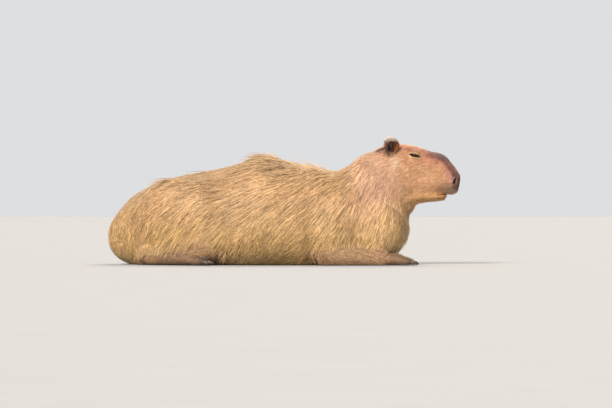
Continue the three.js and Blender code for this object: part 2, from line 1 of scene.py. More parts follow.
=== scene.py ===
# A capybara lying with its head raised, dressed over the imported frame: one skin, its coat in tufts,
# dark eyes and horn claws. Shapes are laid out in millimetres from the tip of the nose, as the solids are.
import math

import bmesh
import bpy
import numpy as np
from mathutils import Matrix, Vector
from mathutils.bvhtree import BVHTree
from mathutils.kdtree import KDTree


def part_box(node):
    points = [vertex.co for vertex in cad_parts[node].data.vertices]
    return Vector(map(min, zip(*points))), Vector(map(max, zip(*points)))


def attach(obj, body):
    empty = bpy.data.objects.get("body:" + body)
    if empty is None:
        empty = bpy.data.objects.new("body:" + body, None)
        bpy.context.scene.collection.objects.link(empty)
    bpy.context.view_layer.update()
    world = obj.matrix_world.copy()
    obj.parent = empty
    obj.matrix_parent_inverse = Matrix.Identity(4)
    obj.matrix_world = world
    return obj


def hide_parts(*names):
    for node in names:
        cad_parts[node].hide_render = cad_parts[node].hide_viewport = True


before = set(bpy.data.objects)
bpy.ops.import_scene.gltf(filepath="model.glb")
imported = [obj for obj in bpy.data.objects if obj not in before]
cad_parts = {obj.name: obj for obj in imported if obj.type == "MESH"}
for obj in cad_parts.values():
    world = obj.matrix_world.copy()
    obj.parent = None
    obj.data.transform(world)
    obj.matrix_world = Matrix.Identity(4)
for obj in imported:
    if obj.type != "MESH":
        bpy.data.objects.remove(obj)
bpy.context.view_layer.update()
print("frame loaded:", len(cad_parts), "nodes")

sides = {"right": -1, "left": 1}
eyeBoxes = [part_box("eye_left"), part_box("eye_right")]
noseTip = np.array([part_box("head")[1].x, (eyeBoxes[0][0].y + eyeBoxes[1][1].y) / 2, 0.0])

animal = {
    "headLength": 285, "headDepth": 183, "headWidth": 150, "jawHeight": 170,
    "chestReach": 150, "trunkLength": 892, "backHeight": 316, "trunkWidth": 368,
    "rumpSway": 130, "swayStart": 300,
}


def toRow(points):
    return np.asarray(points) * 0.001 + noseTip


def toNose(points):
    return (np.asarray(points) - noseTip) * 1000


# Small helpers for numbers and vectors

def fade(value, start, end):
    share = np.clip((value - start) / (end - start), 0, 1)
    return share * share * (3 - 2 * share)


def mixed(first, second, share):
    return first + (second - first) * np.asarray(share)[..., None]


def unit(vectors):
    size = np.linalg.norm(vectors, axis=-1, keepdims=True)
    return vectors / np.maximum(size, 1e-9)


def sizeOf(vectors):
    return np.linalg.norm(vectors, axis=-1)


def bell(value, middle, width, power=2):
    # 1 at the middle, and close to nothing two widths away from it.
    return np.exp(-(((value - middle) / width) ** power))


def mirrored(place, side):
    return np.array(place) * (1, side, 1)


def folded(points):
    # Both sides laid on one, for what is alike on the left and the right.
    x, y, z = points.T
    return np.stack([x, np.abs(y), z], 1)


def lineDistance(places, line):
    best = np.full(len(places), 99.0)
    for start, end in zip(line, line[1:]):
        start, end = np.array(start), np.array(end)
        span = end - start
        share = np.clip(((places - start) @ span) / (span @ span), 0, 1)
        best = np.minimum(best, sizeOf(places - start - share[:, None] * span))
    return best


def flattened(vectors, normals):
    return unit(vectors - normals * (vectors * normals).sum(-1, keepdims=True))


def waves(points, size, seed, parts=7):
    # A smooth wandering value between about -1 and 1, whose swells are about this many millimetres long.
    draws = np.random.default_rng(seed)
    ways = unit(draws.normal(size=(parts, 3))) * draws.uniform(0.6, 1.5, (parts, 1)) * (math.tau / size)
    return np.sin(points @ ways.T + draws.uniform(0, math.tau, parts)).sum(-1) / math.sqrt(parts)


def sway(x):
    reach = animal["chestReach"] + animal["trunkLength"] - animal["swayStart"]
    share = np.maximum(0, -animal["swayStart"] - x) / reach
    return animal["rumpSway"] * share * share


def fourAround(rows, share):
    # The four rows round each place on a track, with the ends carried on straight.
    rows = np.array(rows, float)
    padded = np.vstack([2 * rows[0] - rows[1], rows, 2 * rows[-1] - rows[-2]])
    place = np.clip(share, 0, 1) * (len(rows) - 1)
    first = np.minimum(place.astype(int), len(rows) - 2)
    return [padded[first + i] for i in range(4)], (place - first)[:, None]


def cubic(low, high, slopeLow, slopeHigh, t):
    bend = 3 * (high - low) - 2 * slopeLow - slopeHigh
    turnBack = 2 * (low - high) + slopeLow + slopeHigh
    return low + slopeLow * t + bend * t**2 + turnBack * t**3


def readTrack(rows, share):
    # A smooth value between rows that are evenly spaced.
    (before, low, high, after), t = fourAround(rows, share)
    return cubic(low, high, (high - before) / 2, (after - low) / 2, t)


def readPath(points, share):
    # A smooth way through points at any spacing, without loops or overshoot.
    (before, low, high, after), t = fourAround(points, share)
    spans = (before, low), (low, high), (high, after)
    d0, d1, d2 = (np.sqrt(sizeOf(end - start))[:, None] for start, end in spans)
    slopeLow = ((low - before) / d0 - (high - before) / (d0 + d1) + (high - low) / d1) * d1
    slopeHigh = ((high - low) / d1 - (after - low) / (d1 + d2) + (after - high) / d2) * d1
    return cubic(low, high, slopeLow, slopeHigh, t)


# Surfaces that a ball's vertices are laid on: upright ovals along x, and ovals along a limb

def barrel(rows, above, below, heart, swellings=()):
    # Ovals across the body, each half as square as told, with swellings pushed out from the heart line.
    def surface(along, around):
        x, top, mid, bottom, half = readTrack(rows, along).T
        across = np.sin(around)
        up = -np.cos(around)
        bend = np.where(up > 0, above, below)
        height = np.where(up > 0, top - mid, mid - bottom) * np.abs(up) ** bend
        width = half * np.abs(across) ** bend
        points = np.stack([x, sway(x) + np.sign(across) * width, mid + np.sign(up) * height], 1)
        way = unit(points - np.stack([np.minimum(x, heart), sway(x), mid], 1))
        for at, reach, push in swellings:
            px, py, pz = points.T
            far = sizeOf((np.stack([px, np.abs(py - sway(px)), pz], 1) - at) / reach)
            points = points + way * (push * np.maximum(0, 1 - far * far) ** 2)[:, None]
        return points

    return surface


def limbSections(limb, share):
    # Along a limb: its middle, the three ways of its section, and half its width and height.
    stops, roundStart, roundEnd = limb
    places = [stop[:3] for stop in stops]
    middle = readPath(places, share)
    after = readPath(places, np.minimum(share + 1e-3, 1))
    before = readPath(places, np.maximum(share - 1e-3, 0))
    ahead = unit(after - before)
    across = unit(np.array([0, 1, 0]) - ahead * ahead[:, 1:2])
    up = np.cross(across, ahead)
    start = np.maximum(0, 1 - share / roundStart)
    end = np.maximum(0, 1 - (1 - share) / roundEnd)
    size = np.sqrt(np.maximum(0, 1 - start**2)) * np.sqrt(np.maximum(0, 1 - end**2))
    wide, high = (readTrack([stop[3:] for stop in stops], share) * size[:, None] / 2).T
    return middle, ahead, across, up, wide, high


def limbSurface(limb):
    def surface(along, around):
        middle, ahead, across, up, wide, high = limbSections(limb, (1 - np.cos(math.pi * along)) / 2)
        return middle + across * (np.sin(around) * wide)[:, None] - up * (np.cos(around) * high)[:, None]

    return surface


def nearLimb(points, limb, samples):
    # How far each point is from a limb's middle, where 1 is on its surface, and the limb's way there.
    share = np.linspace(0.03, 0.97, samples)
    middle, ahead, across, up, wide, high = limbSections(limb, share)
    step = np.linalg.norm(middle[-1] - middle[0]) / samples
    beyond = 14  # millimetres past a section that count as one width away
    best = np.full(len(points), 99.0)
    way = np.zeros((len(points), 3))
    for i in range(samples):
        apart = points - middle[i]
        far = np.sqrt(
            ((apart @ across[i]) / wide[i]) ** 2
            + ((apart @ up[i]) / high[i]) ** 2
            + (np.maximum(0, np.abs(apart @ ahead[i]) - step) / beyond) ** 2
        )
        closer = far < best
        best[closer] = far[closer]
        way[closer] = ahead[i]
    return best, way


# The body's sections, as the solids have them: at, top, mid, bottom and width as shares

trunkRows = [
    (0, 0.38, 0.38, 0.38, 0), (0.01, 0.54, 0.38, 0.24, 0.27), (0.04, 0.72, 0.39, 0.09, 0.49),
    (0.1, 0.79, 0.4, -0.01, 0.64), (0.19, 0.82, 0.4, -0.03, 0.72), (0.28, 0.885, 0.4, -0.04, 0.78),
    (0.36, 0.937, 0.4, -0.04, 0.86), (0.42, 0.978, 0.4, -0.04, 0.92), (0.48, 1.01, 0.39, -0.04, 0.96),
    (0.53, 0.97, 0.38, -0.04, 0.98), (0.6, 0.902, 0.37, -0.04, 0.97), (0.7, 0.85, 0.36, -0.04, 0.9),
    (0.8, 0.79, 0.34, -0.04, 0.82), (0.88, 0.7, 0.33, -0.03, 0.72), (0.95, 0.54, 0.3, 0.04, 0.54),
    (0.99, 0.37, 0.27, 0.14, 0.27), (1, 0.27, 0.27, 0.27, 0),
]
neckRows = [
    (0.43, 0.1, 0.1, 0.1, 0), (0.47, 0.45, 0.2, -0.02, 0.6), (0.56, 0.84, 0.3, -0.14, 0.86),
    (0.7, 0.95, 0.34, -0.22, 1.06),
    (0.86, 0.91, 0.25, -0.34, 1.24), (1.04, 0.8, 0.12, -0.6, 1.44), (1.21, 0.59, -0.05, -0.8, 1.64),
    (1.4, 0.48, -0.15, -0.85, 1.7), (1.56, -0.1, -0.1, -0.1, 0),
]
skullRows = [
    (0, 0.44, 0.44, 0.44, 0), (0.006, 0.5, 0.43, 0.32, 0.42), (0.025, 0.56, 0.425, 0.25, 0.57),
    (0.065, 0.656, 0.425, 0.212, 0.66), (0.135, 0.778, 0.435, 0.2, 0.71), (0.22, 0.855, 0.44, 0.19, 0.73),
    (0.32, 0.907, 0.43, 0.13, 0.76), (0.415, 0.95, 0.405, 0.08, 0.81), (0.495, 0.98, 0.385, 0.04, 0.87),
    (0.58, 1, 0.37, 0.01, 0.94), (0.71, 1, 0.37, -0.02, 1), (0.825, 0.935, 0.37, -0.04, 0.98),
    (0.93, 0.79, 0.37, -0.03, 0.83), (1, 0.37, 0.37, 0.37, 0),
]
jawRows = [
    (0.14, 0.175, 0.175, 0.175, 0), (0.15, 0.225, 0.18, 0.13, 0.28), (0.18, 0.27, 0.185, 0.108, 0.47),
    (0.24, 0.3, 0.19, 0.093, 0.6), (0.33, 0.32, 0.19, 0.083, 0.69), (0.43, 0.33, 0.18, 0.06, 0.76),
    (0.56, 0.35, 0.17, 0.02, 0.84), (0.7, 0.35, 0.17, -0.03, 0.85), (0.88, 0.17, 0.17, 0.17, 0),
]
trunkSwellings = [
    ((-415, 70, 262), (75, 60, 60), 7),  # shoulder blade
    ((-885, 75, 225), (70, 50, 60), 7),  # hip bone
    ((-650, 190, 150), (75, 90, 100), -9),  # hollow of the flank
]
headSwellings = [
    ((-140, 42, 342), (36, 24, 22), 4),  # brow
    ((-185, 74, 235), (62, 40, 56), 6),  # chewing muscle
    ((-100, 58, 268), (34, 30, 26), -4),  # hollow ahead of the cheek
    ((-34, 50, 236), (34, 30, 34), 4),  # whisker pad
    ((-46, 0, 322), (44, 34, 34), 6),  # scent gland on the snout
    ((-4, 0, 226), (16, 40, 10), -3),  # crease under the nose
]


def trunkSized(row):
    at, top, mid, bottom, wide = row
    back = animal["backHeight"]
    x = -animal["chestReach"] - at * animal["trunkLength"]
    return (x, top * back, mid * back, bottom * back, wide * animal["trunkWidth"] / 2)


def headSized(row):
    at, top, mid, bottom, wide = row
    deep, jaw = animal["headDepth"], animal["jawHeight"]
    x = -at * animal["headLength"]
    return (x, jaw + top * deep, jaw + mid * deep, jaw + bottom * deep, wide * animal["headWidth"] / 2)


def limbStop(side, x, y, z, wide, high):
    return (x, sway(x) + side * y, z, wide, high)


limbShapes = {  # stops as x, y, z, width and height, then how much of each end is rounded off
    "upperForeleg": (
        ((-318, 74, 226, 84, 128), (-350, 97, 160, 92, 156), (-394, 120, 80, 84, 118),
         (-420, 126, 34, 68, 88)),
        0.3, 0.28,
    ),
    "forearm": (
        ((-428, 124, 40, 68, 82), (-350, 121, 35, 68, 76), (-270, 113, 27, 56, 60),
         (-222, 108, 22, 52, 48)),
        0.12, 0.1,
    ),
    "thigh": (
        ((-955, 62, 160, 100, 150), (-872, 100, 146, 130, 222), (-765, 128, 126, 124, 216),
         (-672, 142, 90, 84, 138)),
        0.42, 0.4,
    ),
    "shank": (
        ((-690, 144, 66, 74, 92), (-790, 144, 50, 66, 78), (-880, 139, 36, 50, 60),
         (-942, 135, 30, 42, 56)),
        0.16, 0.14,
    ),
}


def limbOf(name, side):
    stops, roundStart, roundEnd = limbShapes[name]
    return [limbStop(side, *stop) for stop in stops], roundStart, roundEnd


forefoot = {
    "x": -226, "y": 108, "splay": 0, "pad": 66, "wide": 66, "high": 38,
    "toes": 4, "toe": 46, "thick": 22, "fan": 0.15,
}
hindfoot = {
    "x": -925, "y": 136, "splay": 24, "pad": 154, "wide": 62, "high": 44,
    "toes": 3, "toe": 58, "thick": 25, "fan": 0.16,
}
feet = {"fore": forefoot, "hind": hindfoot}
# Stops as shares of the foot's sizes: place, height and width for a pad, place, width and height for a toe,
# and place, lift, width and height for a claw
padStops = ((0, 1, 0.72), (0.35, 1.02, 0.86), (0.75, 0.9, 1), (1, 0.72, 0.98))
toeStops = ((0, 1.15, 1.35), (0.5, 1, 1.15), (0.78, 0.98, 1.12), (1, 0.9, 0.85))
clawStops = ((0.84, 0.42, 0.62, 0.6), (1.06, 0.36, 0.56, 0.52), (1.26, 0.2, 0.3, 0.32))


def footPad(side, foot):
    stops = []
    for share, tall, broad in padStops:
        x = foot["x"] + share * foot["pad"]
        y = foot["y"] + share * foot["splay"]
        high = foot["high"] * tall
        stops.append(limbStop(side, x, y, high / 2 - 2, foot["wide"] * broad, high))
    return stops, 0.16, 0.22


def toePlace(side, foot, number, share):
    # Where a share of a toe's length lies on the floor. Toes fan out, and the middle ones are the longest.
    middle = (foot["toes"] - 1) / 2
    spread = (number - middle) / middle
    heading = side * (spread * foot["fan"] * middle + foot["splay"] / foot["pad"])
    length = foot["toe"] * (1 - 0.16 * spread * spread)
    rootY = side * (foot["y"] + foot["splay"] * 0.9 + spread * foot["wide"] * 0.36)
    x = foot["x"] + foot["pad"] - 22 + math.cos(heading) * length * share
    return x, sway(x) + rootY + math.sin(heading) * length * share


def toe(side, foot, number):
    thick = foot["thick"]
    stops = [
        (*toePlace(side, foot, number, share), thick * high / 2 - 1.5, thick * wide, thick * high)
        for share, wide, high in toeStops
    ]
    return stops, 0.2, 0.22


def claw(side, foot, number):
    thick = foot["thick"]
    stops = [
        (*toePlace(side, foot, number, share), thick * lift, thick * wide, thick * high)
        for share, lift, wide, high in clawStops
    ]
    return stops, 0.2, 0.2


shortLimbs = [(limbOf(name, side), "leg") for name in ("forearm", "shank") for side in sides.values()]
shortLimbs += [(footPad(side, foot), "foot") for side in sides.values() for foot in feet.values()]
toes = [
    (toe(side, foot, i), side, foot, i)
    for side in sides.values() for foot in feet.values() for i in range(foot["toes"])
]

napeCut = ((-160, 168), (-245, 345))  # x and z of the line from the throat to the nape, where the head begins


def aheadOfNape(points):
    (lowX, lowZ), (highX, highZ) = napeCut
    lean = math.atan2(lowX - highX, highZ - lowZ)
    return (points[:, 0] - lowX) * math.cos(lean) + (points[:, 2] - lowZ) * math.sin(lean)


# Pieces

def newObject(name, mesh, material=None):
    piece = bpy.data.objects.new(name, mesh)
    bpy.context.scene.collection.objects.link(piece)
    if material:
        mesh.materials.append(material)
    return piece


def meshOf(bm, name):
    mesh = bpy.data.meshes.new(name)
    bm.to_mesh(mesh)
    bm.free()
    mesh.polygons.foreach_set("use_smooth", [True] * len(mesh.polygons))
    return mesh


def modify(piece, name, kind, **settings):
    step = piece.modifiers.new(name, kind)
    for key, value in settings.items():
        setattr(step, key, value)


def settle(piece):
    # Applies the piece's modifiers.
    graph = bpy.context.evaluated_depsgraph_get()
    done = bpy.data.meshes.new_from_object(
        piece.evaluated_get(graph), preserve_all_data_layers=True, depsgraph=graph,
    )
    before = piece.data
    piece.modifiers.clear()
    piece.data = done
    bpy.data.meshes.remove(before)


def layBall(bm, surface, around, along):
    # A sheet rolled round a surface, closed along its seam and at both ends.
    sheet = bmesh.ops.create_grid(bm, x_segments=around, y_segments=along, size=1)["verts"]
    flat = np.array([vert.co for vert in sheet])
    points = toRow(surface((flat[:, 1] + 1) / 2, (flat[:, 0] + 1) * math.pi))
    for vert, point in zip(sheet, points):
        vert.co = point
    bmesh.ops.remove_doubles(bm, verts=sheet, dist=1e-6)


def pointsOf(mesh):
    points = np.empty(len(mesh.vertices) * 3, np.float32)
    mesh.vertices.foreach_get("co", points)
    return toNose(points.reshape(-1, 3).astype(float))


def normalsOf(mesh):
    normals = np.empty(len(mesh.vertices) * 3, np.float32)
    mesh.vertex_normals.foreach_get("vector", normals)
    return normals.reshape(-1, 3).astype(float)


def setPoints(mesh, points):
    mesh.vertices.foreach_set("co", toRow(points).astype(np.float32).ravel())
    mesh.update()


skinSettings = {
    "voxel": 0.003,  # metres
    "coatDepth": 5.0,  # the skin lies this far inside the solids' core on the body, in millimetres
    "faceDepth": 1.2,
    "legDepth": 2.0,
    "blendSteps": 60,  # soft joins of thigh, shoulder, neck and cheek
    "faceSteps": 14,
    "thinned": 0.4,  # share of the triangles kept
    "ripple": 1.0,  # loose folds of the body's skin
    "roundSnout": 7.0,  # taken off the snout's upper edges beside the scent gland
    "floor": 1.2,  # the skin stays this far above the floor
}
fineness = {  # points around and along each sheet that is rolled into a form
    "trunk": (96, 110), "neck": (80, 60), "skull": (110, 130), "jaw": (72, 64), "thigh": (56, 48),
    "upperForeleg": (48, 40), "shortLimb": (40, 36), "toe": (24, 18), "claw": (20, 18),
}


def skinSource():
    bm = bmesh.new()
    barrels = {  # the sections, how square they are above and below, the heart line's start, the swellings
        "trunk": (map(trunkSized, trunkRows), 0.95, 0.78, -animal["chestReach"] - 40, trunkSwellings),
        "neck": (map(headSized, neckRows), 0.95, 0.95, -200),
        "skull": (map(headSized, skullRows), 0.8, 0.84, -45, headSwellings),
        "jaw": (map(headSized, jawRows), 0.9, 0.9, -60),
    }
    for name, (rows, *shape) in barrels.items():
        layBall(bm, barrel(list(rows), *shape), *fineness[name])
    for side in sides.values():
        for name in ("thigh", "upperForeleg"):
            layBall(bm, limbSurface(limbOf(name, side)), *fineness[name])
    for limb, kind in shortLimbs:
        layBall(bm, limbSurface(limb), *fineness["shortLimb"])
    for limb, side, foot, number in toes:
        layBall(bm, limbSurface(limb), *fineness["toe"])
    bmesh.ops.recalc_face_normals(bm, faces=bm.faces)
    return meshOf(bm, "skin")


limbSamples = {"leg": 26, "foot": 12}
limbTop = 130  # millimetres above the floor, which no short-haired limb reaches


def limbShare(points, reach=1.3):
    # How far each point belongs to a short-haired leg or foot, and the way down that limb.
    leg = np.zeros(len(points))
    foot = np.zeros(len(points))
    way = np.zeros((len(points), 3))
    nearest = np.full(len(points), 99.0)
    low = points[:, 2] < limbTop
    parts = shortLimbs + [(row[0], "foot") for row in toes]
    for limb, kind in parts:
        far, ahead = nearLimb(points[low], limb, limbSamples[kind])
        whole = np.full(len(points), 99.0)
        whole[low] = far
        share = 1 - fade(whole, 1.05, reach)
        if kind == "leg":
            leg = np.maximum(leg, share)
        else:
            foot = np.maximum(foot, share)
        closer = whole < nearest
        nearest[closer] = whole[closer]
        ways = np.zeros((len(points), 3))
        ways[low] = ahead
        way[closer] = ways[closer]
    return leg * (1 - foot), foot, way


def addGroup(piece, name, share, grades=20):
    # A vertex group whose weights are rounded to a few grades, so that it is quick to fill.
    group = piece.vertex_groups.new(name=name)
    rounded = np.round(share * grades).astype(int)
    for grade in np.unique(rounded):
        members = np.nonzero(rounded == grade)[0].tolist()
        group.add(members, max(float(grade) / grades, 0.02), "REPLACE")


def fusedSkin():
    piece = newObject("skin", skinSource())
    modify(piece, "fused", "REMESH", mode="VOXEL", voxel_size=skinSettings["voxel"])
    settle(piece)
    points = pointsOf(piece.data)
    x, y, z = points.T
    leg, foot, way = limbShare(points)
    head = fade(aheadOfNape(points), -40, 20)
    plain = 1 - np.maximum.reduce([head, leg, foot])
    cheek = fade(-x, 66, 92) * (1 - fade(z, 225, 250)) * head
    throat = fade(-x, 96, 118) * (1 - fade(z, 188, 214))
    addGroup(piece, "soft", np.maximum.reduce([plain, cheek, throat]))
    addGroup(piece, "plain", np.maximum.reduce([plain, leg * 0.5, foot * 0.2]))
    normals = normalsOf(piece.data)
    bareNose = fade(x, -110, -60) * fade(z, 235, 275)
    edge = np.clip(2 * np.abs(normals[:, 1]) * normals[:, 2], 0, 1) * fade(x, -128, -92)
    depth = np.maximum.reduce([
        skinSettings["coatDepth"] * plain,
        skinSettings["faceDepth"] * head * (1 - 1.3 * bareNose),
        skinSettings["legDepth"] * np.maximum(leg, foot * 0.6),
    ])
    depth += skinSettings["ripple"] * waves(points, 75, 3) * plain + skinSettings["roundSnout"] * edge
    points = points - normals * depth[:, None]
    points[:, 2] = np.maximum(points[:, 2], skinSettings["floor"])
    setPoints(piece.data, points)
    modify(piece, "blended", "SMOOTH", factor=0.5, iterations=skinSettings["blendSteps"], vertex_group="soft")
    modify(piece, "even", "SMOOTH", factor=0.5, iterations=skinSettings["faceSteps"])
    thinned = {"ratio": skinSettings["thinned"], "vertex_group": "plain", "vertex_group_factor": 1.0}
    modify(piece, "thinned", "DECIMATE", **thinned)
    settle(piece)
    return piece


# Ears are short square cups, wider above than at the root, open to the side, with a fold inside

ear = {
    "at": (-207, 50, 320), "lean": 0.42, "turn": 0.38,
    "shell": (50, 27, 56), "hollow": (41, 26, 46), "lift": (19.5, 23.5), "out": 8, "fold": 5, "voxel": 0.0014,
    "square": 3.0,  # how square the cup is
    "foot": 0.46,  # how narrow its root is, as a share of its width
    "flare": 0.58,  # how much it widens above
    "reach": (31, 21, 75),  # what counts as the ear along, out and up from its root
}


def earForm(side, size, lift, out, fold):
    bm = bmesh.new()
    sheet = bmesh.ops.create_icosphere(bm, subdivisions=5, radius=0.5)["verts"]
    ball = np.array([vert.co for vert in sheet])
    high = ball[:, 2] + 0.5
    flat = np.abs(ball[:, [0, 2]]) + 1e-6
    squarer = sizeOf(flat) / (flat ** ear["square"]).sum(1) ** (1 / ear["square"])
    ball[:, [0, 2]] *= squarer[:, None]
    points = ball * np.array(size)
    points[:, 0] *= ear["foot"] + ear["flare"] * high
    points[:, 1] += side * fold * (bell(points[:, 0], 4, 4.5) * fade(-points[:, 2], -18, 8))
    points += np.array([0, side * out, lift])
    lean, turn = -side * ear["lean"], -side * ear["turn"]
    x, y, z = points.T
    y, z = y * math.cos(lean) - z * math.sin(lean), y * math.sin(lean) + z * math.cos(lean)
    x, y = x * math.cos(turn) - y * math.sin(turn), x * math.sin(turn) + y * math.cos(turn)
    for vert, point in zip(sheet, toRow(np.stack([x, y, z], 1) + mirrored(ear["at"], side))):
        vert.co = point
    return newObject("earForm", meshOf(bm, "earForm"))


def growEars(piece):
    for side in sides.values():
        shell = earForm(side, ear["shell"], ear["lift"][0], 0, 0)
        hollow = earForm(side, ear["hollow"], ear["lift"][1], ear["out"], ear["fold"])
        modify(shell, "hollow", "BOOLEAN", operation="DIFFERENCE", solver="MANIFOLD", object=hollow)
        modify(shell, "even", "REMESH", mode="VOXEL", voxel_size=ear["voxel"])
        modify(shell, "rims", "SMOOTH", factor=0.5, iterations=8)
        settle(shell)
        modify(piece, "ear", "BOOLEAN", operation="UNION", solver="MANIFOLD", object=shell)
        settle(piece)
        for form in (shell, hollow):
            bpy.data.objects.remove(form)


def earShare(points):
    # How far each point belongs to an ear, how far up it, and its place along the ear's width.
    x, y, z = (folded(points) - ear["at"]).T
    high = y * math.sin(ear["lean"]) + z * math.cos(ear["lean"])
    out = y * math.cos(ear["lean"]) - z * math.sin(ear["lean"])
    along, across, tall = ear["reach"]
    inside = (np.hypot(x / along, out / across) < 1) & (high > 2) & (high < tall)
    return inside * fade(high, 4, 16), high, x


# Lids, nostrils and the line of the mouth are drawn into the skin, which is made finer there first

eye = {
    "at": (-135, 42.5, 320.5), "radius": 13.4, "slope": 0.24,
    "back": -14.4, "front": 14.6, "upper": 4.1, "lower": -3.1,  # the opening, in millimetres
    "lid": 1.9,  # how far the lids stand off the ball
    "behind": 2.6,  # how far the skin inside the opening lies behind the ball's surface
    "near": 34,  # the skin this near is domed over the ball
    "folds": ((21.5, 2.2, 0.5), (18, 1.8, -0.8)),  # rings round the lids: how far out, how wide, how high
    "rim": (1.2, 0.5), "crease": (0.9, 1.4),  # the lids' edge and the fold at each corner: width and height
}
nostril = {
    "at": (-17, 48, 246.5), "out": (0.45, 0.89, 0.05), "along": (0.42, 0, 0.9),
    "deep": 8, "wide": 3.6, "tall": 10.5, "bend": 0.02, "narrows": 0.045,
    "rim": 1.2, "rimAt": 2.6, "rimWide": 2.2, "rimTall": 13,
}
mouth = {
    "line": ((-66, 204.5), (-58, 205), (-50, 207.5), (-42, 208), (-33, 206), (-22, 205), (4, 205.5)),
    "deep": 3.6, "wide": 1.8,
    "lips": 0.9, "lipAt": 4.6, "lipWide": 2.2,  # the swelling on both sides of the line
    "corner": ((-70, 201), (-64, 204), (-56, 210)), "cornerDeep": 1.6, "cornerWide": 3.4,
    "cleft": 2.6, "cleftWide": 1.8,  # the furrow from the lips up to the nose
}
earFold = {"line": ((-210, 336), (-226, 340), (-246, 341)), "deep": 2.8, "wide": 4, "beside": 25}
toeJoint = {
    "at": (0.42, 0.72), "high": 0.9, "reach": 13,
    "crease": 0.7, "creaseWide": 1.6, "knuckle": 0.5, "knuckleAt": 6, "knuckleWide": 4,
}


def eyePlace(points, side):
    # Each point from the middle of an eye: its distance, its way out, and its place across and up the slit.
    apart = points - mirrored(eye["at"], side)
    lean, rise = math.cos(eye["slope"]), math.sin(eye["slope"])
    u = apart[:, 0] * lean - apart[:, 2] * rise
    v = apart[:, 0] * rise + apart[:, 2] * lean
    return apart, sizeOf(apart), u, v


def slitEdges(u):
    share = np.clip((u - eye["back"]) / (eye["front"] - eye["back"]), 0, 1)
    upper = eye["upper"] * np.sin(math.pi * share**0.82) ** 0.8
    lower = eye["lower"] * np.sin(math.pi * share**0.7) ** 0.9
    return upper, lower


def slitDistance(u, v):
    # Roughly how far a place is outside the opening, and less than nothing inside it.
    upper, lower = slitEdges(u)
    over = np.where(v > 0, v - upper, lower - v)
    past = np.maximum(eye["back"] - u, u - eye["front"])
    return np.where(past > 0, np.hypot(past, v), over)


def refine(piece, chosen):
    # Cuts in two each edge whose ends are both chosen.
    bm = bmesh.new()
    bm.from_mesh(piece.data)
    bm.edges.ensure_lookup_table()
    ends = np.array([(edge.verts[0].index, edge.verts[1].index) for edge in bm.edges])
    inside = np.nonzero(chosen[ends[:, 0]] & chosen[ends[:, 1]])[0]
    bmesh.ops.subdivide_edges(bm, edges=[bm.edges[i] for i in inside], cuts=1, use_grid_fill=True)
    bmesh.ops.triangulate(bm, faces=[face for face in bm.faces if len(face.verts) > 4])
    piece.data.clear_geometry()
    bm.to_mesh(piece.data)
    bm.free()


def faceZones(points):
    # How near each point is to an eye and to a nostril, and whether it is beside the mouth's line.
    near = np.minimum.reduce([eyePlace(points, side)[1] for side in sides.values()])
    nose = sizeOf(folded(points) - nostril["at"])
    front = (points[:, 0] > -70) & (lineDistance(points[:, [0, 2]], mouth["line"]) < 9)
    return np.minimum(near, 99.0), nose, front


def domeEyes(points):
    # Lids stand over the ball, with a soft fold round them.
    for side in sides.values():
        apart, far, u, v = eyePlace(points, side)
        lid = eye["radius"] + eye["lid"]
        near = (far < eye["near"]) & (side * apart[:, 1] > -10)
        domed = lid + 0.5 * (far - lid + np.sqrt((far - lid) ** 2 + 14)) - 0.8
        ring = sizeOf(np.stack([u, v * 1.12], 1))
        folds = sum(high * bell(ring, out, wide) for out, wide, high in eye["folds"])
        target = np.where(near, domed + folds, far)
        points = points - apart + unit(apart) * target[:, None]
    return points


def onLids(points):
    # Near the opening, on the outside.
    close = np.zeros(len(points), bool)
    for side in sides.values():
        apart, far, u, v = eyePlace(points, side)
        close |= (far < 20) & (side * apart[:, 1] > 0) & (np.abs(slitDistance(u, v)) < 2.2)
    return close


def openEyes(points):
    # The nearest points are drawn to the opening's edge, and those inside it go behind the ball.
    for side in sides.values():
        apart, far, u, v = eyePlace(points, side)
        gapTo = slitDistance(u, v)
        facing = (far < 20) & (side * apart[:, 1] > 0)
        snap = facing & (np.abs(gapTo) < 0.24) & (u > eye["back"]) & (u < eye["front"])
        upper, lower = slitEdges(u)
        shift = np.where(snap, np.where(v > 0, upper, lower) - v, 0)
        points = points + shift[:, None] * np.array([math.sin(eye["slope"]), 0, math.cos(eye["slope"])])
        inner = facing & (gapTo < 0) & ~snap
        rim = eye["rim"][1] * bell(np.maximum(gapTo, 0), 0, eye["rim"][0]) * (facing & ~inner)
        crease = -eye["crease"][1] * bell(v, 0, eye["crease"][0])
        crease = crease * fade(np.abs(u), 11, 13.5) * (1 - fade(np.abs(u), 17, 21))
        apart = points - mirrored(eye["at"], side)
        wanted = np.where(inner, eye["radius"] - eye["behind"], sizeOf(apart) + rim + crease * facing)
        points = points - apart + unit(apart) * wanted[:, None]
    return points


def nostrilShape(points, side):
    # The pit, a comma that widens below, the rim round it, and the way out.
    apart = points - mirrored(nostril["at"], side)
    out = unit(mirrored(nostril["out"], side))
    along = unit(np.array(nostril["along"]) - out * (np.array(nostril["along"]) @ out))
    high, beside, depth = apart @ along, apart @ np.cross(along, out), apart @ out
    bow = beside * -side - nostril["bend"] * high**2
    wide = nostril["wide"] * (1 - nostril["narrows"] * np.clip(high, -11, 11))
    near = np.abs(depth + 3) < 16
    pit = bell(bow, 0, wide, 4) * bell(high, 0, nostril["tall"], 6) * near
    rim = bell(np.abs(bow) - wide, nostril["rimAt"], nostril["rimWide"])
    rim = rim * bell(high, 0, nostril["rimTall"], 4) * near
    return pit, rim, out


def sculptNostrils(points):
    for side in sides.values():
        pit, rim, out = nostrilShape(points, side)
        points = points + out * (nostril["rim"] * rim - nostril["deep"] * pit)[:, None]
    return points


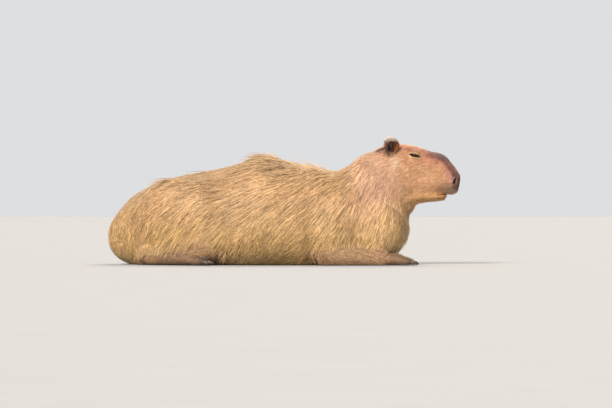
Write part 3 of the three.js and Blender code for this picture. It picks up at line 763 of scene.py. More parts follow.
def sculptMouth(points, normals):
    x, y, z = points.T
    flat = points[:, [0, 2]]
    line = lineDistance(flat, mouth["line"])
    reach = fade(x, -70, -62)
    facing = fade(np.abs(normals[:, 2]), 0.97, 0.8)
    groove = mouth["deep"] * bell(line, 0, mouth["wide"]) * reach * facing
    lips = mouth["lips"] * bell(line, mouth["lipAt"], mouth["lipWide"]) * reach
    corner = mouth["cornerDeep"] * bell(lineDistance(flat, mouth["corner"]), 0, mouth["cornerWide"])
    cleft = mouth["cleft"] * bell(y, 0, mouth["cleftWide"]) * fade(x, -30, -14)
    cleft *= fade(z, 198, 206) * (1 - 0.7 * fade(z, 232, 240)) * (1 - fade(z, 252, 266))
    fold = earFold["deep"] * bell(lineDistance(flat, earFold["line"]), 0, earFold["wide"])
    fold *= np.abs(y) > earFold["beside"]
    return points + normals * (lips - groove - corner - cleft - fold)[:, None]


def sculptFeet(points, normals):
    # A crease and a knuckle at both joints of each toe.
    cfg = toeJoint
    for limb, side, foot, number in toes:
        for share in cfg["at"]:
            apart = points - np.array((*toePlace(side, foot, number, share), foot["thick"] * cfg["high"]))
            near = bell(sizeOf(apart[:, 1:]), 0, cfg["reach"], 4)
            crease = cfg["crease"] * bell(apart[:, 0], 0, cfg["creaseWide"])
            knuckle = cfg["knuckle"] * bell(apart[:, 0], cfg["knuckleAt"], cfg["knuckleWide"])
            points = points - normals * ((crease - knuckle) * near)[:, None]
    return points


def finishFace(piece):
    near, nose, front = faceZones(pointsOf(piece.data))
    refine(piece, (near < 28) | (nose < 20) | front)
    near, nose, front = faceZones(pointsOf(piece.data))
    refine(piece, (near < 20) | (nose < 14))
    points = sculptMouth(sculptNostrils(domeEyes(pointsOf(piece.data))), normalsOf(piece.data))
    setPoints(piece.data, points)
    near, nose, front = faceZones(points)
    addGroup(piece, "face", np.maximum.reduce([fade(-near, -34, -26), fade(-nose, -24, -17), front * 1.0]))
    modify(piece, "face", "SMOOTH", factor=0.5, iterations=3, vertex_group="face")
    settle(piece)
    refine(piece, onLids(pointsOf(piece.data)))
    points = sculptFeet(openEyes(pointsOf(piece.data)), normalsOf(piece.data))
    points[:, 2] = np.maximum(points[:, 2], 1.0)
    setPoints(piece.data, points)


skin = fusedSkin()
print("skin fused:", len(skin.data.vertices), "points")
growEars(skin)
finishFace(skin)
print("face drawn:", len(skin.data.vertices), "points")


# Markings, which skin and coat share

def linear(text):
    value = np.array([int(text[i:i + 2], 16) for i in (1, 3, 5)]) / 255
    return np.where(value <= 0.04045, value / 12.92, ((value + 0.055) / 1.055) ** 2.4)


markings = {
    # The lower body's yellow is partly its own colour and partly painted light reflected from grass.
    # The neck's tint is partly its own colour and partly a painted sheen.
    # The throat's tint is partly its own paler colour and partly painted light against the shade under the
    # jaw.
    "flank": "#BD9160", "back": "#AD8960", "lower": "#BE9752", "neck": "#D19F7F", "throat": "#D9AB6B",
    # The brow's darker tint is a painted shade band.
    # The pale tint under the ear is a painted highlight.
    "cheek": "#D2996D", "jaw": "#F1B066", "forehead": "#CB8966", "brow": "#9C6A52", "paintedHighlight": "#EACDAE",
    "snout": "#915B55", "gland": "#42252A", "glandPale": "#704A49", "noseSkin": "#765551",
    # The lids' pale ring tint is a painted highlight.
    # The mouth's dark tint is painted shade, in the lips' line and in the nostril pits.
    "blush": "#BE8C80", "lip": "#D0AF95", "mouth": "#2B1614", "lidEdge": "#1A0E0C", "lidHighlight": "#E2B887",
    "eyeCorner": "#B07A70", "ear": "#A87552", "earRim": "#EADBCB", "earFlank": "#9C5429",
    # The dark tint behind the ears is dark skin with painted shade of the fold.
    "earInside": "#35282A", "behindEar": "#3F2724", "leg": "#B58A62", "foot": "#89694E", "toe": "#5E4A3C",
}
markings = {name: linear(text) for name, text in markings.items()}
snoutRidge = (
    (-124, 344), (-96, 338), (-83, 333), (-50, 322), (-35, 311), (-22, 294), (-10, 278), (-3, 258), (-3, 236),
)
glandZone = {"at": -55, "reach": 34, "above": (285, 296)}
noseZone = {"at": (2, 0, 237), "reach": (22, 50, 13), "nostrilReach": (13, 14, 17)}
underEar = {"along": (-181, 13), "up": (300, 18)}  # the pale patch's place and reach
earNotch = {"line": ((-200, 336), (-196, 322)), "beside": 34}
wedge = {"line": ((-214, 33), (-250, 19)), "tip": -252, "long": 38, "narrow": 3, "widens": 15}  # from above


def behindEarShare(points):
    # The dark fold behind each ear, of dark bare skin with painted shade in the fold, a wedge that points to
    # the tail and to the middle of the nape.
    wide = wedge["narrow"] + wedge["widens"] * np.clip((points[:, 0] - wedge["tip"]) / wedge["long"], 0, 1)
    off = lineDistance(folded(points)[:, :2], wedge["line"]) + 2.5 * waves(points, 9, 35)
    high = fade(points[:, 2], 305, 318)
    return (1 - fade(off, wide * 0.35, wide * 1.3)) * high * fade(-points[:, 0], 203, 212)


def lidShares(points, side):
    # Near one eye: the dark edge of the lids with painted crease shade past the corners, a painted highlight
    # ring round it, the corner ahead and a painted shade band at the brow above.
    apart, far, u, v = eyePlace(points, side)
    beside = (far < 42) & (side * apart[:, 1] > -6)
    edge = slitDistance(u, v)
    past = np.abs(u)
    # Painted crease shade: dark lines carried on past both corners of the opening.
    cornerCreaseShade = fade(past, 13, 15) * (1 - fade(past, 17.5, 20)) * bell(v, 0, 1.7)
    corner = bell(v + (u - 16) * 0.08, 0, 1.5) * fade(u, 14.5, 17) * (1 - fade(u, 22, 27))
    return {
        "edge": edge, "beside": beside,
        "dark": np.maximum((1 - fade(edge, 0.8, 2.4)) * beside, cornerCreaseShade * beside),
        # A painted highlight ring on the lids round the opening.
        "paintedHighlight": bell(edge, 4.2, 2.4) * beside,
        "corner": corner * beside,
        # A painted shade band above the eye, under the brow.
        "brow": bell(v, 17, 5) * (1 - fade(np.abs(u + 3), 12, 22)) * beside,
    }


# Each of these gives tints with how much of each to lay on, in turn, and how hairless the skin is there

def bodyTints(points, normals):
    # The neck, back, belly, throat and face, and a painted highlight, a pale patch under the ear.
    x, y, z = points.T
    high = normals[:, 2]
    sideOn = fade(-high, -0.75, -0.1) * fade(np.abs(y - sway(x)), 20, 50)
    face = mixed(markings["forehead"], markings["cheek"], sideOn)
    face = mixed(face, markings["jaw"], (1 - fade(z, 196, 232)) * 0.8)
    face = face * (1 + 0.07 * waves(points, 34, 31) + 0.06 * waves(points, 12, 32))[:, None]
    patch = bell(x, *underEar["along"]) * bell(z, *underEar["up"])
    tints = [
        # The neck's paler pinkish tint is partly its own colour and partly a painted sheen.
        ("neck", fade(x, -350, -235)),
        ("back", fade(high, 0.45, 0.95) * fade(-x, 330, 520) * 0.8),
        # The lower body's yellow is partly its own colour and partly painted light reflected from grass.
        ("lower", (1 - fade(z, 20, 230)) * 0.9),
        # The throat's paler tint is partly its own colour and partly painted light, lightened against the
        # shade under the jaw.
        ("throat", (1 - fade(z, 140, 238)) * fade(x, -330, -200) * 0.85),
        (face, fade(aheadOfNape(points), -30, 60)),
        # A painted highlight on the cheek under the ear.
        ("paintedHighlight", patch * (0.6 + 0.2 * waves(points, 9, 34))),
    ]
    return tints, 0.0


def snoutTints(points):
    # The band along the snout, the bare gland on top, the nose, the lips and the painted shade in the mouth's
    # line.
    x, y, z = points.T
    flat = points[:, [0, 2]]
    ridge = lineDistance(flat, snoutRidge)
    wander = waves(points, 15, 9)
    band = (1 - fade(ridge + waves(points, 26, 8) * 3, 10, 27)) * fade(x, -118, -86)
    blush = bell(ridge, 27, 9) * fade(x, -75, -45) * fade(z, 225, 245)
    widened = 4 * fade(x, -40, -15)
    front = (1 - fade(ridge + wander * 2 - widened, 14, 20)) * fade(x, -92, -78)
    apart = np.hypot((x - glandZone["at"]) / glandZone["reach"], y / glandZone["reach"])
    gland = 1 - fade(apart + 0.06 * wander, 0.8, 1.06)
    gland = gland * fade(z, *glandZone["above"]) * (1 - fade(ridge, 14, 20))
    worn = fade(waves(points, 7, 12) + 0.5 * wander, 0.4, 1.6) * 0.55
    tip = sizeOf((points - noseZone["at"]) / noseZone["reach"]) + 0.12 * wander
    wing = sizeOf((np.abs(points) * (-1, 1, 1) - nostril["at"]) / noseZone["nostrilReach"]) + 0.1 * wander
    nose = np.maximum(0.6 * (1 - fade(tip, 0.5, 1.2)), 1 - fade(wing, 0.7, 1.15))
    # Painted shade darkens the line where the lips meet.
    mouthLineShade = (1 - fade(lineDistance(flat, mouth["line"]), 0.9, 2.4)) * fade(x, -70, -63)
    tints = [
        ("snout", band * 0.6),
        ("blush", blush * 0.55),
        (mixed(markings["snout"], markings["gland"], fade(wander, 0, 1.2)), front * 0.85),
        (mixed(markings["gland"], markings["glandPale"], worn), gland * 0.95),
        ("noseSkin", nose * 0.85),
        ("lip", bell(z, 216, 10) * fade(x, -50, -30) * 0.7),
        ("mouth", mouthLineShade),
    ]
    return tints, np.maximum.reduce([gland, nose * 0.7, mouthLineShade])


def wedgeTints(points):
    # Dark bare skin with painted shade in the fold behind the ear.
    share = behindEarShare(points)
    return [("behindEar", share)], share * 0.75


def eyeTints(points, side):
    # One side's nostril pit in painted shade, the brow's painted shade band, and the lids with their painted
    # highlight ring.
    lids = lidShares(points, side)
    # The nostril's pit is painted near black, as painted shade inside it.
    pit = np.minimum(nostrilShape(points, side)[0] * 1.3, 1)
    tints = [
        ("mouth", pit), ("brow", lids["brow"] * 0.5), ("lidHighlight", lids["paintedHighlight"] * 0.6),
        ("eyeCorner", lids["corner"] * 0.8), ("lidEdge", lids["dark"]),
    ]
    hairless = (1 - fade(lids["edge"], 1.8, 3.4)) * lids["beside"]
    return tints, np.maximum.reduce([pit, hairless, lids["corner"]])


def earTints(points, normals):
    # Reddish flanks, a dark middle with pale hair in it, a pale top edge, and a dark notch below of dark skin
    # with painted shade under the ear's root.
    share, up, along = earShare(points)
    facing = normals[:, 1] * np.sign(points[:, 1])
    within = share * fade(facing, 0.0, 0.45) * (1 - fade(up, 43, 50))
    lining = mixed(markings["earInside"], markings["earFlank"], fade(np.abs(along + 1), 8, 14))
    middle = bell(along - 2 + 0.12 * (up - 30), 0, 4.2) * fade(up, 19, 30)
    middle = np.clip(middle * (0.8 + 0.3 * waves(points, 5, 36)), 0, 1)
    middle *= fade(waves(points, 3, 37) + 0.6 * middle, -0.4, 0.6)
    tuft = mixed(markings["earFlank"], markings["earRim"], 0.35 + 0.5 * fade(up, 34, 46))
    # The notch is dark skin with painted shade under the ear's root.
    notch = 1 - fade(lineDistance(points[:, [0, 2]], earNotch["line"]), 3.5, 8.5)
    notch = notch * (np.abs(points[:, 1] - sway(points[:, 0])) > earNotch["beside"])
    tints = [
        ("ear", share),
        (lining, within * 0.95),
        (tuft, within * middle * 0.8),
        ("earRim", share * fade(up, 41, 49) * 0.95),
        ("behindEar", notch * fade(facing, -0.3, 0.2) * 0.9),
    ]
    return tints, np.maximum(within * (0.8 - 0.7 * middle), notch * 0.8)


def footTints(points):
    # The lower legs, darker to the toes.
    x = points[:, 0]
    leg, foot, way = limbShare(points, 1.6)
    ahead, behind = x > -500, x < -500
    wrist = foot * np.maximum(fade(x, -238, -206) * ahead, fade(x, -925, -880) * behind)
    tips = foot * fade(x, -188, -150) * ahead + foot * fade(x, -790, -750) * behind
    return [("leg", np.maximum(leg, foot)), ("foot", wrist), ("toe", tips)], tips * 0.35


def markingsAt(points, normals):
    # The colour of each point, and how bare its skin is.
    stages = [bodyTints(points, normals), snoutTints(points), wedgeTints(points)]
    stages += [eyeTints(points, side) for side in sides.values()]
    stages += [earTints(points, normals), footTints(points)]
    colour = np.tile(markings["flank"], (len(points), 1)) * (1 + 0.03 * waves(points, 130, 33))[:, None]
    bare = np.zeros(len(points))
    for tints, hairless in stages:
        bare = np.maximum(bare, hairless)
        for tint, share in tints:
            colour = mixed(colour, markings[tint] if isinstance(tint, str) else tint, share)
    return colour, np.clip(bare, 0, 1)


def paint(mesh, name, values):
    layer = mesh.attributes.new(name, "FLOAT_COLOR", "POINT")
    whole = np.ones((len(values), 4), np.float32)
    whole[:, :values.shape[1]] = values
    layer.data.foreach_set("color", whole.ravel())


def unwrapSkin(piece):
    bpy.context.view_layer.objects.active = piece
    piece.select_set(True)
    bpy.ops.object.mode_set(mode="EDIT")
    bpy.ops.mesh.select_all(action="SELECT")
    bpy.ops.uv.smart_project(angle_limit=math.radians(66), island_margin=0.001)
    bpy.ops.object.mode_set(mode="OBJECT")
    piece.select_set(False)


unwrapSkin(skin)
skinPoints = pointsOf(skin.data)
skinNormals = normalsOf(skin.data)
skinColour, skinBare = markingsAt(skinPoints, skinNormals)
paint(skin.data, "markings", skinColour)
paint(skin.data, "bareness", skinBare[:, None])
print("skin marked")


# The skin's triangles, for setting tufts on it

skin.data.calc_loop_triangles()
corners = np.empty(len(skin.data.loop_triangles) * 3, np.int32)
skin.data.loop_triangles.foreach_get("vertices", corners)
corners = corners.reshape(-1, 3)
loops = np.empty(len(corners) * 3, np.int32)
skin.data.loop_triangles.foreach_get("loops", loops)
flatMap = np.empty(len(skin.data.loops) * 2, np.float32)
skin.data.uv_layers.active.uv.foreach_get("vector", flatMap)
flatMap = flatMap.reshape(-1, 2)[loops.reshape(-1, 3)]
edgeA = skinPoints[corners[:, 1]] - skinPoints[corners[:, 0]]
edgeB = skinPoints[corners[:, 2]] - skinPoints[corners[:, 0]]
areas = np.linalg.norm(np.cross(edgeA, edgeB), axis=1) / 2
skinTree = BVHTree.FromPolygons(skinPoints.tolist(), corners.tolist())

coatPlan = {
    "slope": (  # degrees that the hair points down, by the distance behind the nose
        (180, 78), (260, 66), (350, 57), (430, 42), (520, 22), (620, 9), (820, 12), (930, 32), (1000, 62),
    ),
    "lowSlope": 62, "slopeWander": 6, "sideWander": 7,
    "neck": 34, "back": 18, "rump": 8, "throat": 8,  # a tuft's length, and how much longer it is elsewhere
    "face": 12.5, "snoutLess": 6, "leg": 20, "foot": 8, "ear": 6, "earRim": 6,
    "nearEye": 0.55, "behindEar": 0.5,  # how much shorter there, as a share
}


def coatFields():
    # For each point of the skin: what kind of coat it has, how long, and which way it lies.
    x, y, z = skinPoints.T
    nape = aheadOfNape(skinPoints)
    leg, foot, way = limbShare(skinPoints, 1.4)
    onEar, up, along = earShare(skinPoints)
    cfg = coatPlan
    low = fade(290 - z, 0, 270)
    slope = np.interp(-x, *zip(*cfg["slope"])) * (1 - low) + cfg["lowSlope"] * low
    slope = np.radians(slope + cfg["slopeWander"] * waves(skinPoints, 190, 21))
    drift = np.radians(cfg["sideWander"]) * waves(skinPoints, 150, 22)
    body = np.stack([-np.cos(slope), np.sin(drift) * 0.6, -np.sin(slope)], 1)
    drop = 0.1 + 0.75 * fade(300 - z, 0, 120) * fade(-x, 60, 190)
    blunt = fade(x, -52, -6)
    face = np.stack([-np.ones_like(x), np.zeros_like(x), -drop], 1)
    face = mixed(face, np.stack([-0.25 * np.ones_like(x), y / 45, (z - 240) / 42], 1), blunt)
    head = fade(nape, -70, 55)
    flow = mixed(body, face, head)
    hang = unit(flow)
    short = np.maximum(leg, foot)
    flow = mixed(flow, way + np.array([0, 0, -0.25]), short)
    flow[:, 2] -= 3.6 * short * (1 - short)
    rise = np.stack([-0.25 * np.ones_like(x), 0.35 * np.sign(y), np.ones_like(x)], 1)
    flow = mixed(flow, rise, onEar)
    reach = fade(nape, -75, 48)
    throat = fade(x, -240, -170) * (1 - fade(z, 175, 200)) * (1 - reach)
    length = cfg["neck"] + cfg["back"] * fade(-x, 230, 420) + cfg["rump"] * fade(-x, 500, 600)
    length = (length + cfg["throat"] * throat) * (1 - reach)
    length = length + (cfg["face"] - cfg["snoutLess"] * fade(x, -130, -40)) * reach
    for side in sides.values():
        lids = lidShares(skinPoints, side)
        length = length * (1 - cfg["nearEye"] * (1 - fade(lids["edge"], 2, 14)) * lids["beside"])
    length = length * (1 - cfg["behindEar"] * fade(behindEarShare(skinPoints), 0.1, 0.6))
    length = length * (1 - leg) + cfg["leg"] * leg
    length = length * (1 - foot) + cfg["foot"] * foot
    length = length * (1 - onEar) + (cfg["ear"] + cfg["earRim"] * fade(up, 38, 48)) * onEar
    return {
        "flow": unit(flow), "hang": hang, "length": length, "leg": leg, "foot": foot, "head": head,
        "ear": onEar, "earUp": up, "short": np.maximum.reduce([head, leg, foot, onEar]),
    }


fields = coatFields()
print("coat planned")


def scatter(chance, count, seed, lie="flow"):
    # Roots spread over the skin by area and chance, with their place on its flat map.
    draws = np.random.default_rng(seed)
    weight = np.cumsum(areas * chance[corners].mean(1))
    face = np.searchsorted(weight, (np.arange(count) + draws.random(count)) / count * weight[-1])
    face = np.minimum(face, len(corners) - 1)
    a, b = draws.random((2, count))
    a, b = np.where(a + b > 1, 1 - a, a), np.where(a + b > 1, 1 - b, b)
    share = np.stack([1 - a - b, a, b], 1)[..., None]

    def read(values):
        return (values[corners[face]].reshape(count, 3, -1) * share).sum(1)

    return {
        "at": read(skinPoints), "normal": unit(read(skinNormals)), "flow": read(fields[lie]),
        "length": read(fields["length"])[:, 0], "colour": read(skinColour),
        "map": (flatMap[face] * share).sum(1), "draws": draws,
    }


def onSkin(points):
    # The nearest place on the skin to each point, and the way out there.
    found = [skinTree.find_nearest(point) for point in points.tolist()]
    places = np.array([hit[0] for hit in found])
    normals = unit(skinNormals[corners[[hit[2] for hit in found]]].sum(1))
    flows = unit(fields["hang"][corners[[hit[2] for hit in found]]].sum(1))
    return places, normals, flows


def turned(flow, normals, angles):
    # Ways along the skin, turned about its own way out.
    side = np.cross(normals, flow)
    return flow * np.cos(angles)[:, None] + side * np.sin(angles)[:, None]


def laid(roots, length, angles, shares):
    # Places along the skin from each root, following the lie, with the way out at each.
    place, normal, flow = roots["at"], roots["normal"], roots["flow"]
    places, normals = [place], [normal]
    for step in np.diff(shares):
        ahead = turned(flattened(flow, normal), normal, angles)
        place, normal, flow = onSkin(place + ahead * (length * step)[:, None])
        places.append(place)
        normals.append(normal)
    return np.stack(places, 1), np.stack(normals, 1)


tuftLook = {
    "roundness": 1.4,  # how far a tuft's two edges are shaded to the sides, as on a round hair
    "patch": (0.0015, 0.003),  # each tuft's own patch on the skin's flat map, across it and along it
    "floor": 0.6,
    "most": 190000,  # triangles in one piece
}


def tuftCorners(count, stops, each):
    # The corners of every tuft's faces, and how many each face has.
    quads = []
    for ring in range(stops - 2):
        a = ring * 3
        quads += [(a, a + 1, a + 4, a + 3), (a + 1, a + 2, a + 5, a + 4), (a + 2, a, a + 3, a + 5)]
    a = (stops - 2) * 3
    tris = [(a, a + 1, each - 1), (a + 1, a + 2, each - 1), (a + 2, a, each - 1), (0, 2, 1)]
    one = np.concatenate([np.array(quads, int).ravel(), np.array(tris).ravel()])
    whole = (one[None] + (np.arange(count) * each)[:, None]).ravel()
    return whole, np.tile(np.array([4] * len(quads) + [3] * len(tris)), count)


def tuftMesh(name, spine, normals, width, thick, roots, seeds):
    # Solid three-sided tufts, pointed at the tip and shaded as part of the coat they lie in. They are built
    # from arrays in one go, because a coat has tens of thousands of them.
    count, stops = spine.shape[:2]
    ahead = unit(np.gradient(spine, axis=1))
    across = unit(np.cross(ahead, normals))
    up = unit(np.cross(across, ahead))
    rings = spine[:, :-1]
    left = rings - across[:, :-1] * width[..., None] / 2
    right = rings + across[:, :-1] * width[..., None] / 2
    crest = rings + up[:, :-1] * thick[..., None]
    body = np.stack([left, crest, right], 2).reshape(count, -1, 3)
    points = np.concatenate([body, spine[:, -1:]], 1)
    each = points.shape[1]
    points[..., 2] = np.maximum(points[..., 2], tuftLook["floor"])
    allCorners, sizes = tuftCorners(count, stops, each)
    mesh = bpy.data.meshes.new(name)
    mesh.vertices.add(count * each)
    mesh.loops.add(len(allCorners))
    mesh.polygons.add(len(sizes))
    mesh.vertices.foreach_set("co", toRow(points.reshape(-1, 3)).astype(np.float32).ravel())
    mesh.loops.foreach_set("vertex_index", allCorners.astype(np.int32))
    mesh.polygons.foreach_set("loop_start", np.concatenate([[0], np.cumsum(sizes)[:-1]]).astype(np.int32))
    mesh.polygons.foreach_set("use_smooth", np.ones(len(sizes), bool))
    mesh.update(calc_edges=True)
    rise = normals[:, :-1] + up[:, :-1]
    lean = across[:, :-1] * tuftLook["roundness"]
    facing = np.stack([rise - lean, rise, rise + lean], 2).reshape(count, -1, 3)
    facing = unit(np.concatenate([facing, normals[:, -1:]], 1)).reshape(-1, 3)
    mesh.normals_split_custom_set_from_vertices(facing.tolist())
    stage = np.concatenate([np.repeat(np.arange(stops - 1), 3), [stops - 1]]) / (stops - 1)
    lateral = np.concatenate([np.tile([-1, 0, 1], stops - 1), [0]])
    patch = np.stack([lateral, stage], 1) * tuftLook["patch"]
    patch = patch[None] + roots["map"][:, None]
    uvs = mesh.uv_layers.new(name="OFBake")
    uvs.uv.foreach_set("vector", patch.reshape(-1, 2)[allCorners].astype(np.float32).ravel())
    paint(mesh, "markings", np.repeat(roots["colour"], each, axis=0))
    tuft, clump = np.repeat(seeds, each, axis=0).T
    paint(mesh, "strand", np.stack([tuft, np.tile(stage, count), clump], 1))
    return mesh


def picked(roots, chosen):
    # The same facts for some of the roots only, or for some of them more than once.
    return {key: (value[chosen] if isinstance(value, np.ndarray) else value) for key, value in roots.items()}


def addCoat(name, spine, normals, width, thick, roots, seeds, material):
    # Splits a coat from nose to tail into pieces that stay under 200,000 triangles.
    count, stops = spine.shape[:2]
    each = (stops - 2) * 6 + 4
    parts = math.ceil(count * each / tuftLook["most"])
    order = np.argsort(-roots["at"][:, 0], kind="stable")
    for number, chosen in enumerate(np.array_split(order, parts), 1):
        mesh = tuftMesh(
            f"{name}_{number}", spine[chosen], normals[chosen], width[chosen], thick[chosen],
            picked(roots, chosen), seeds[chosen],
        )
        piece = newObject(f"{name}_{number}", mesh, material)
        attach(piece, "root")
    print(name, count, "tufts in", parts)


bodyCoat = {
    "seed": 11, "full": 50,  # the length of a full tuft, in millimetres
    "clumpLength": (0.85, 1.2), "clumpAngle": 0.08, "clumpTone": (-0.25, 1.25),
    "tuftLength": (0.82, 1.12), "tuftAngle": 0.045, "tuftTone": (-0.15, 1.15), "tuftSize": (0.75, 1.25),
    # The full coat, then the longer guard hairs over it. For each: how many locks and tufts, a tuft's length
    # as a share of the coat's, its width and thickness at each stop, where its stops are, how far they stand
    # off the skin at the least and at the most, and how far they are drawn to the middle of their lock.
    "layers": (
        {"name": "body_coat", "clumps": 24000, "tufts": 42000, "length": 1.0, "width": (3.0, 3.4),
         "thick": (1.0, 1.2), "stops": (0, 0.5, 1), "lift": ((-2, 2.2, 3.4), (-2, 3.6, 5.6)),
         "gather": (0, 0.25, 0.4)},
        {"name": "body_strands", "clumps": 19000, "tufts": 30000, "length": 1.2, "width": (1.6, 2.0),
         "thick": (0.9, 1.1), "stops": (0, 0.32, 1), "lift": ((-1, 3.0, 4.6), (-1, 5.6, 7.6)),
         "gather": (0.1, 0.25, 0.5)},
        {"name": "body_hairs", "clumps": 30000, "tufts": 54000, "length": 1.15, "width": (1.7,),
         "thick": (0.9,), "stops": (0, 1), "lift": ((0, 5), (2, 9)), "gather": (0.1, 0.3)},
    ),
}


def nearestOf(places, points):
    # Which of the places is nearest to each point.
    tree = KDTree(len(places))
    for i, place in enumerate(places.tolist()):
        tree.insert(place, i)
    tree.balance()
    return np.array([tree.find(point)[1] for point in points.tolist()])


def growLayer(layer, seed, chance, material):
    # Locks first, each with its own length, way, lift and tone, and then the tufts that belong to them.
    cfg = bodyCoat
    clumps = layer["clumps"]
    guides = scatter(chance, clumps, seed, "hang")
    draws = guides["draws"]
    clumpLength = guides["length"] * draws.uniform(*cfg["clumpLength"], clumps) * layer["length"]
    clumpAngle = draws.normal(0, cfg["clumpAngle"], clumps)
    clumpLift = draws.random(clumps)
    clumpTone = draws.uniform(*cfg["clumpTone"], clumps)
    clumpTone = 0.5 + (clumpTone - 0.5) * (1 + 0.7 * fade(guides["at"][:, 0], -400, -320))
    clumpPlaces = laid(guides, clumpLength, clumpAngle, layer["stops"])[0]
    roots = scatter(chance, layer["tufts"], seed + 1, "hang")
    draws = roots["draws"]
    owner = nearestOf(guides["at"], roots["at"])
    length = clumpLength[owner] * draws.uniform(*cfg["tuftLength"], len(owner))
    angle = clumpAngle[owner] + draws.normal(0, cfg["tuftAngle"], len(owner))
    places, normals = laid(roots, length, angle, layer["stops"])
    spine = places + (clumpPlaces[owner] - places) * np.array(layer["gather"])[None, :, None]
    share = roots["length"] / cfg["full"]
    stand = 0.35 * clumpLift[owner] + 0.65 * draws.random(len(owner))
    lift = mixed(np.array(layer["lift"][0]), np.array(layer["lift"][1]), stand)
    lift = lift * np.clip(0.3 + 0.7 * share, 0.3, 1.1)[:, None]
    spine = spine + normals * lift[..., None]
    size = (draws.uniform(*cfg["tuftSize"], len(owner)) * np.clip(0.45 + 0.55 * share, 0.4, 1.05))[:, None]
    width, thick = np.array([layer["width"]]) * size, np.array([layer["thick"]]) * size
    seeds = np.stack([draws.uniform(*cfg["tuftTone"], len(owner)), clumpTone[owner]], 1)
    addCoat(layer["name"], spine, normals, width, thick, roots, seeds, material)


def growBody(material):
    # Everywhere but on the head, the lower legs, the feet and the ears.
    chance = fade(1 - fields["short"], 0.05, 0.5) * fade(skinPoints[:, 2], 2, 12)
    for number, layer in enumerate(bodyCoat["layers"]):
        growLayer(layer, bodyCoat["seed"] + 10 * number, chance, material)


strays = {
    "locks": 120, "each": 4, "seed": 61, "length": (56, 92), "angle": 0.2, "apart": 1.6,
    "stops": (0, 0.4, 1), "lift": (-1, 10, 27), "width": (1.7, 2.0),
    "hump": (-530, 30), "dip": (-384, 12),  # where along the back they stand, and how far that reaches
}


def growStrays(material):
    # Long hairs in small locks that stand up along the back, on the shoulders' dip and on the hump.
    cfg = strays
    x = skinPoints[:, 0]
    top = fade(skinNormals[:, 2], 0.74, 0.95)
    tall = bell(x, *cfg["hump"]) + 0.5 * bell(x, *cfg["dip"]) + 0.02 * (x < -300)
    roots = scatter(tall * top, cfg["locks"], cfg["seed"], "hang")
    draws = roots["draws"]
    owner = np.repeat(np.arange(cfg["locks"]), cfg["each"])
    count = len(owner)
    length = draws.uniform(*cfg["length"], cfg["locks"])[owner] * draws.uniform(0.75, 1.1, count)
    angle = draws.normal(0, cfg["angle"], cfg["locks"])[owner] + draws.normal(0, 0.06, count)
    stand = draws.uniform(0.3, 1.1, cfg["locks"])[owner] * draws.uniform(0.8, 1.15, count)
    roots = picked(roots, owner)
    roots["at"] = roots["at"] + draws.normal(0, cfg["apart"], (count, 3))
    places, normals = laid(roots, length, angle, cfg["stops"])
    spine = places + normals * (np.array([cfg["lift"]]) * stand[:, None])[..., None]
    width = np.array([cfg["width"]]) * draws.uniform(0.8, 1.2, count)[:, None]
    addCoat("stray_hairs", spine, normals, width, width * 0.5, roots, draws.random((count, 2)), material)


shortCoats = {
    "face_coat": {"count": 80000, "seed": 41, "width": 1.6, "thick": 0.7, "lift": 1.1, "spread": 0.14},
    "leg_coat": {"count": 40000, "seed": 43, "width": 2.0, "thick": 0.8, "lift": 0.8, "spread": 0.12},
    "ear_coat": {"count": 9000, "seed": 45, "width": 1.3, "thick": 0.5, "lift": 1.9, "spread": 0.25},
    "ear_rim": {"count": 2200, "seed": 47, "width": 1.4, "thick": 0.5, "lift": 3.0, "spread": 0.45},
}


def growShort(name, chance, material):
    # A close coat of small tufts that need not be led along the skin.
    cfg = shortCoats[name]
    count = cfg["count"]
    roots = scatter(chance, count, cfg["seed"])
    draws = roots["draws"]
    length = roots["length"] * draws.uniform(0.7, 1.3, count)
    angle = draws.normal(0, cfg["spread"], count)
    ahead = turned(flattened(roots["flow"], roots["normal"]), roots["normal"], angle)
    share = np.array([0, 1])[None, :, None]
    rise = np.array([-0.1, 0.2 * cfg["lift"]])[None] * length[:, None]
    rise = rise * draws.uniform(0.6, 1.3, count)[:, None]
    normals = np.repeat(roots["normal"][:, None], 2, axis=1)
    spine = roots["at"][:, None] + ahead[:, None] * share * length[:, None, None] + normals * rise[..., None]
    size = draws.uniform(0.7, 1.3, count)[:, None] * np.clip(length / 12, 0.5, 1.4)[:, None]
    locks = np.clip(0.5 + 0.28 * waves(roots["at"] * (0.45, 1, 1.3), 8, cfg["seed"]), 0, 1)
    seeds = np.stack([draws.random(count), locks], 1)
    addCoat(name, spine, normals, cfg["width"] * size, cfg["thick"] * size, roots, seeds, material)


whiskers = {
    "count": 34, "seed": 71, "length": (38, 78), "width": 0.75, "tip": 0.35, "droop": 0.22, "stops": 6,
    "colour": "#9A7A5E", "pad": (-36, 232), "reach": (13, 11), "beside": 30,
}


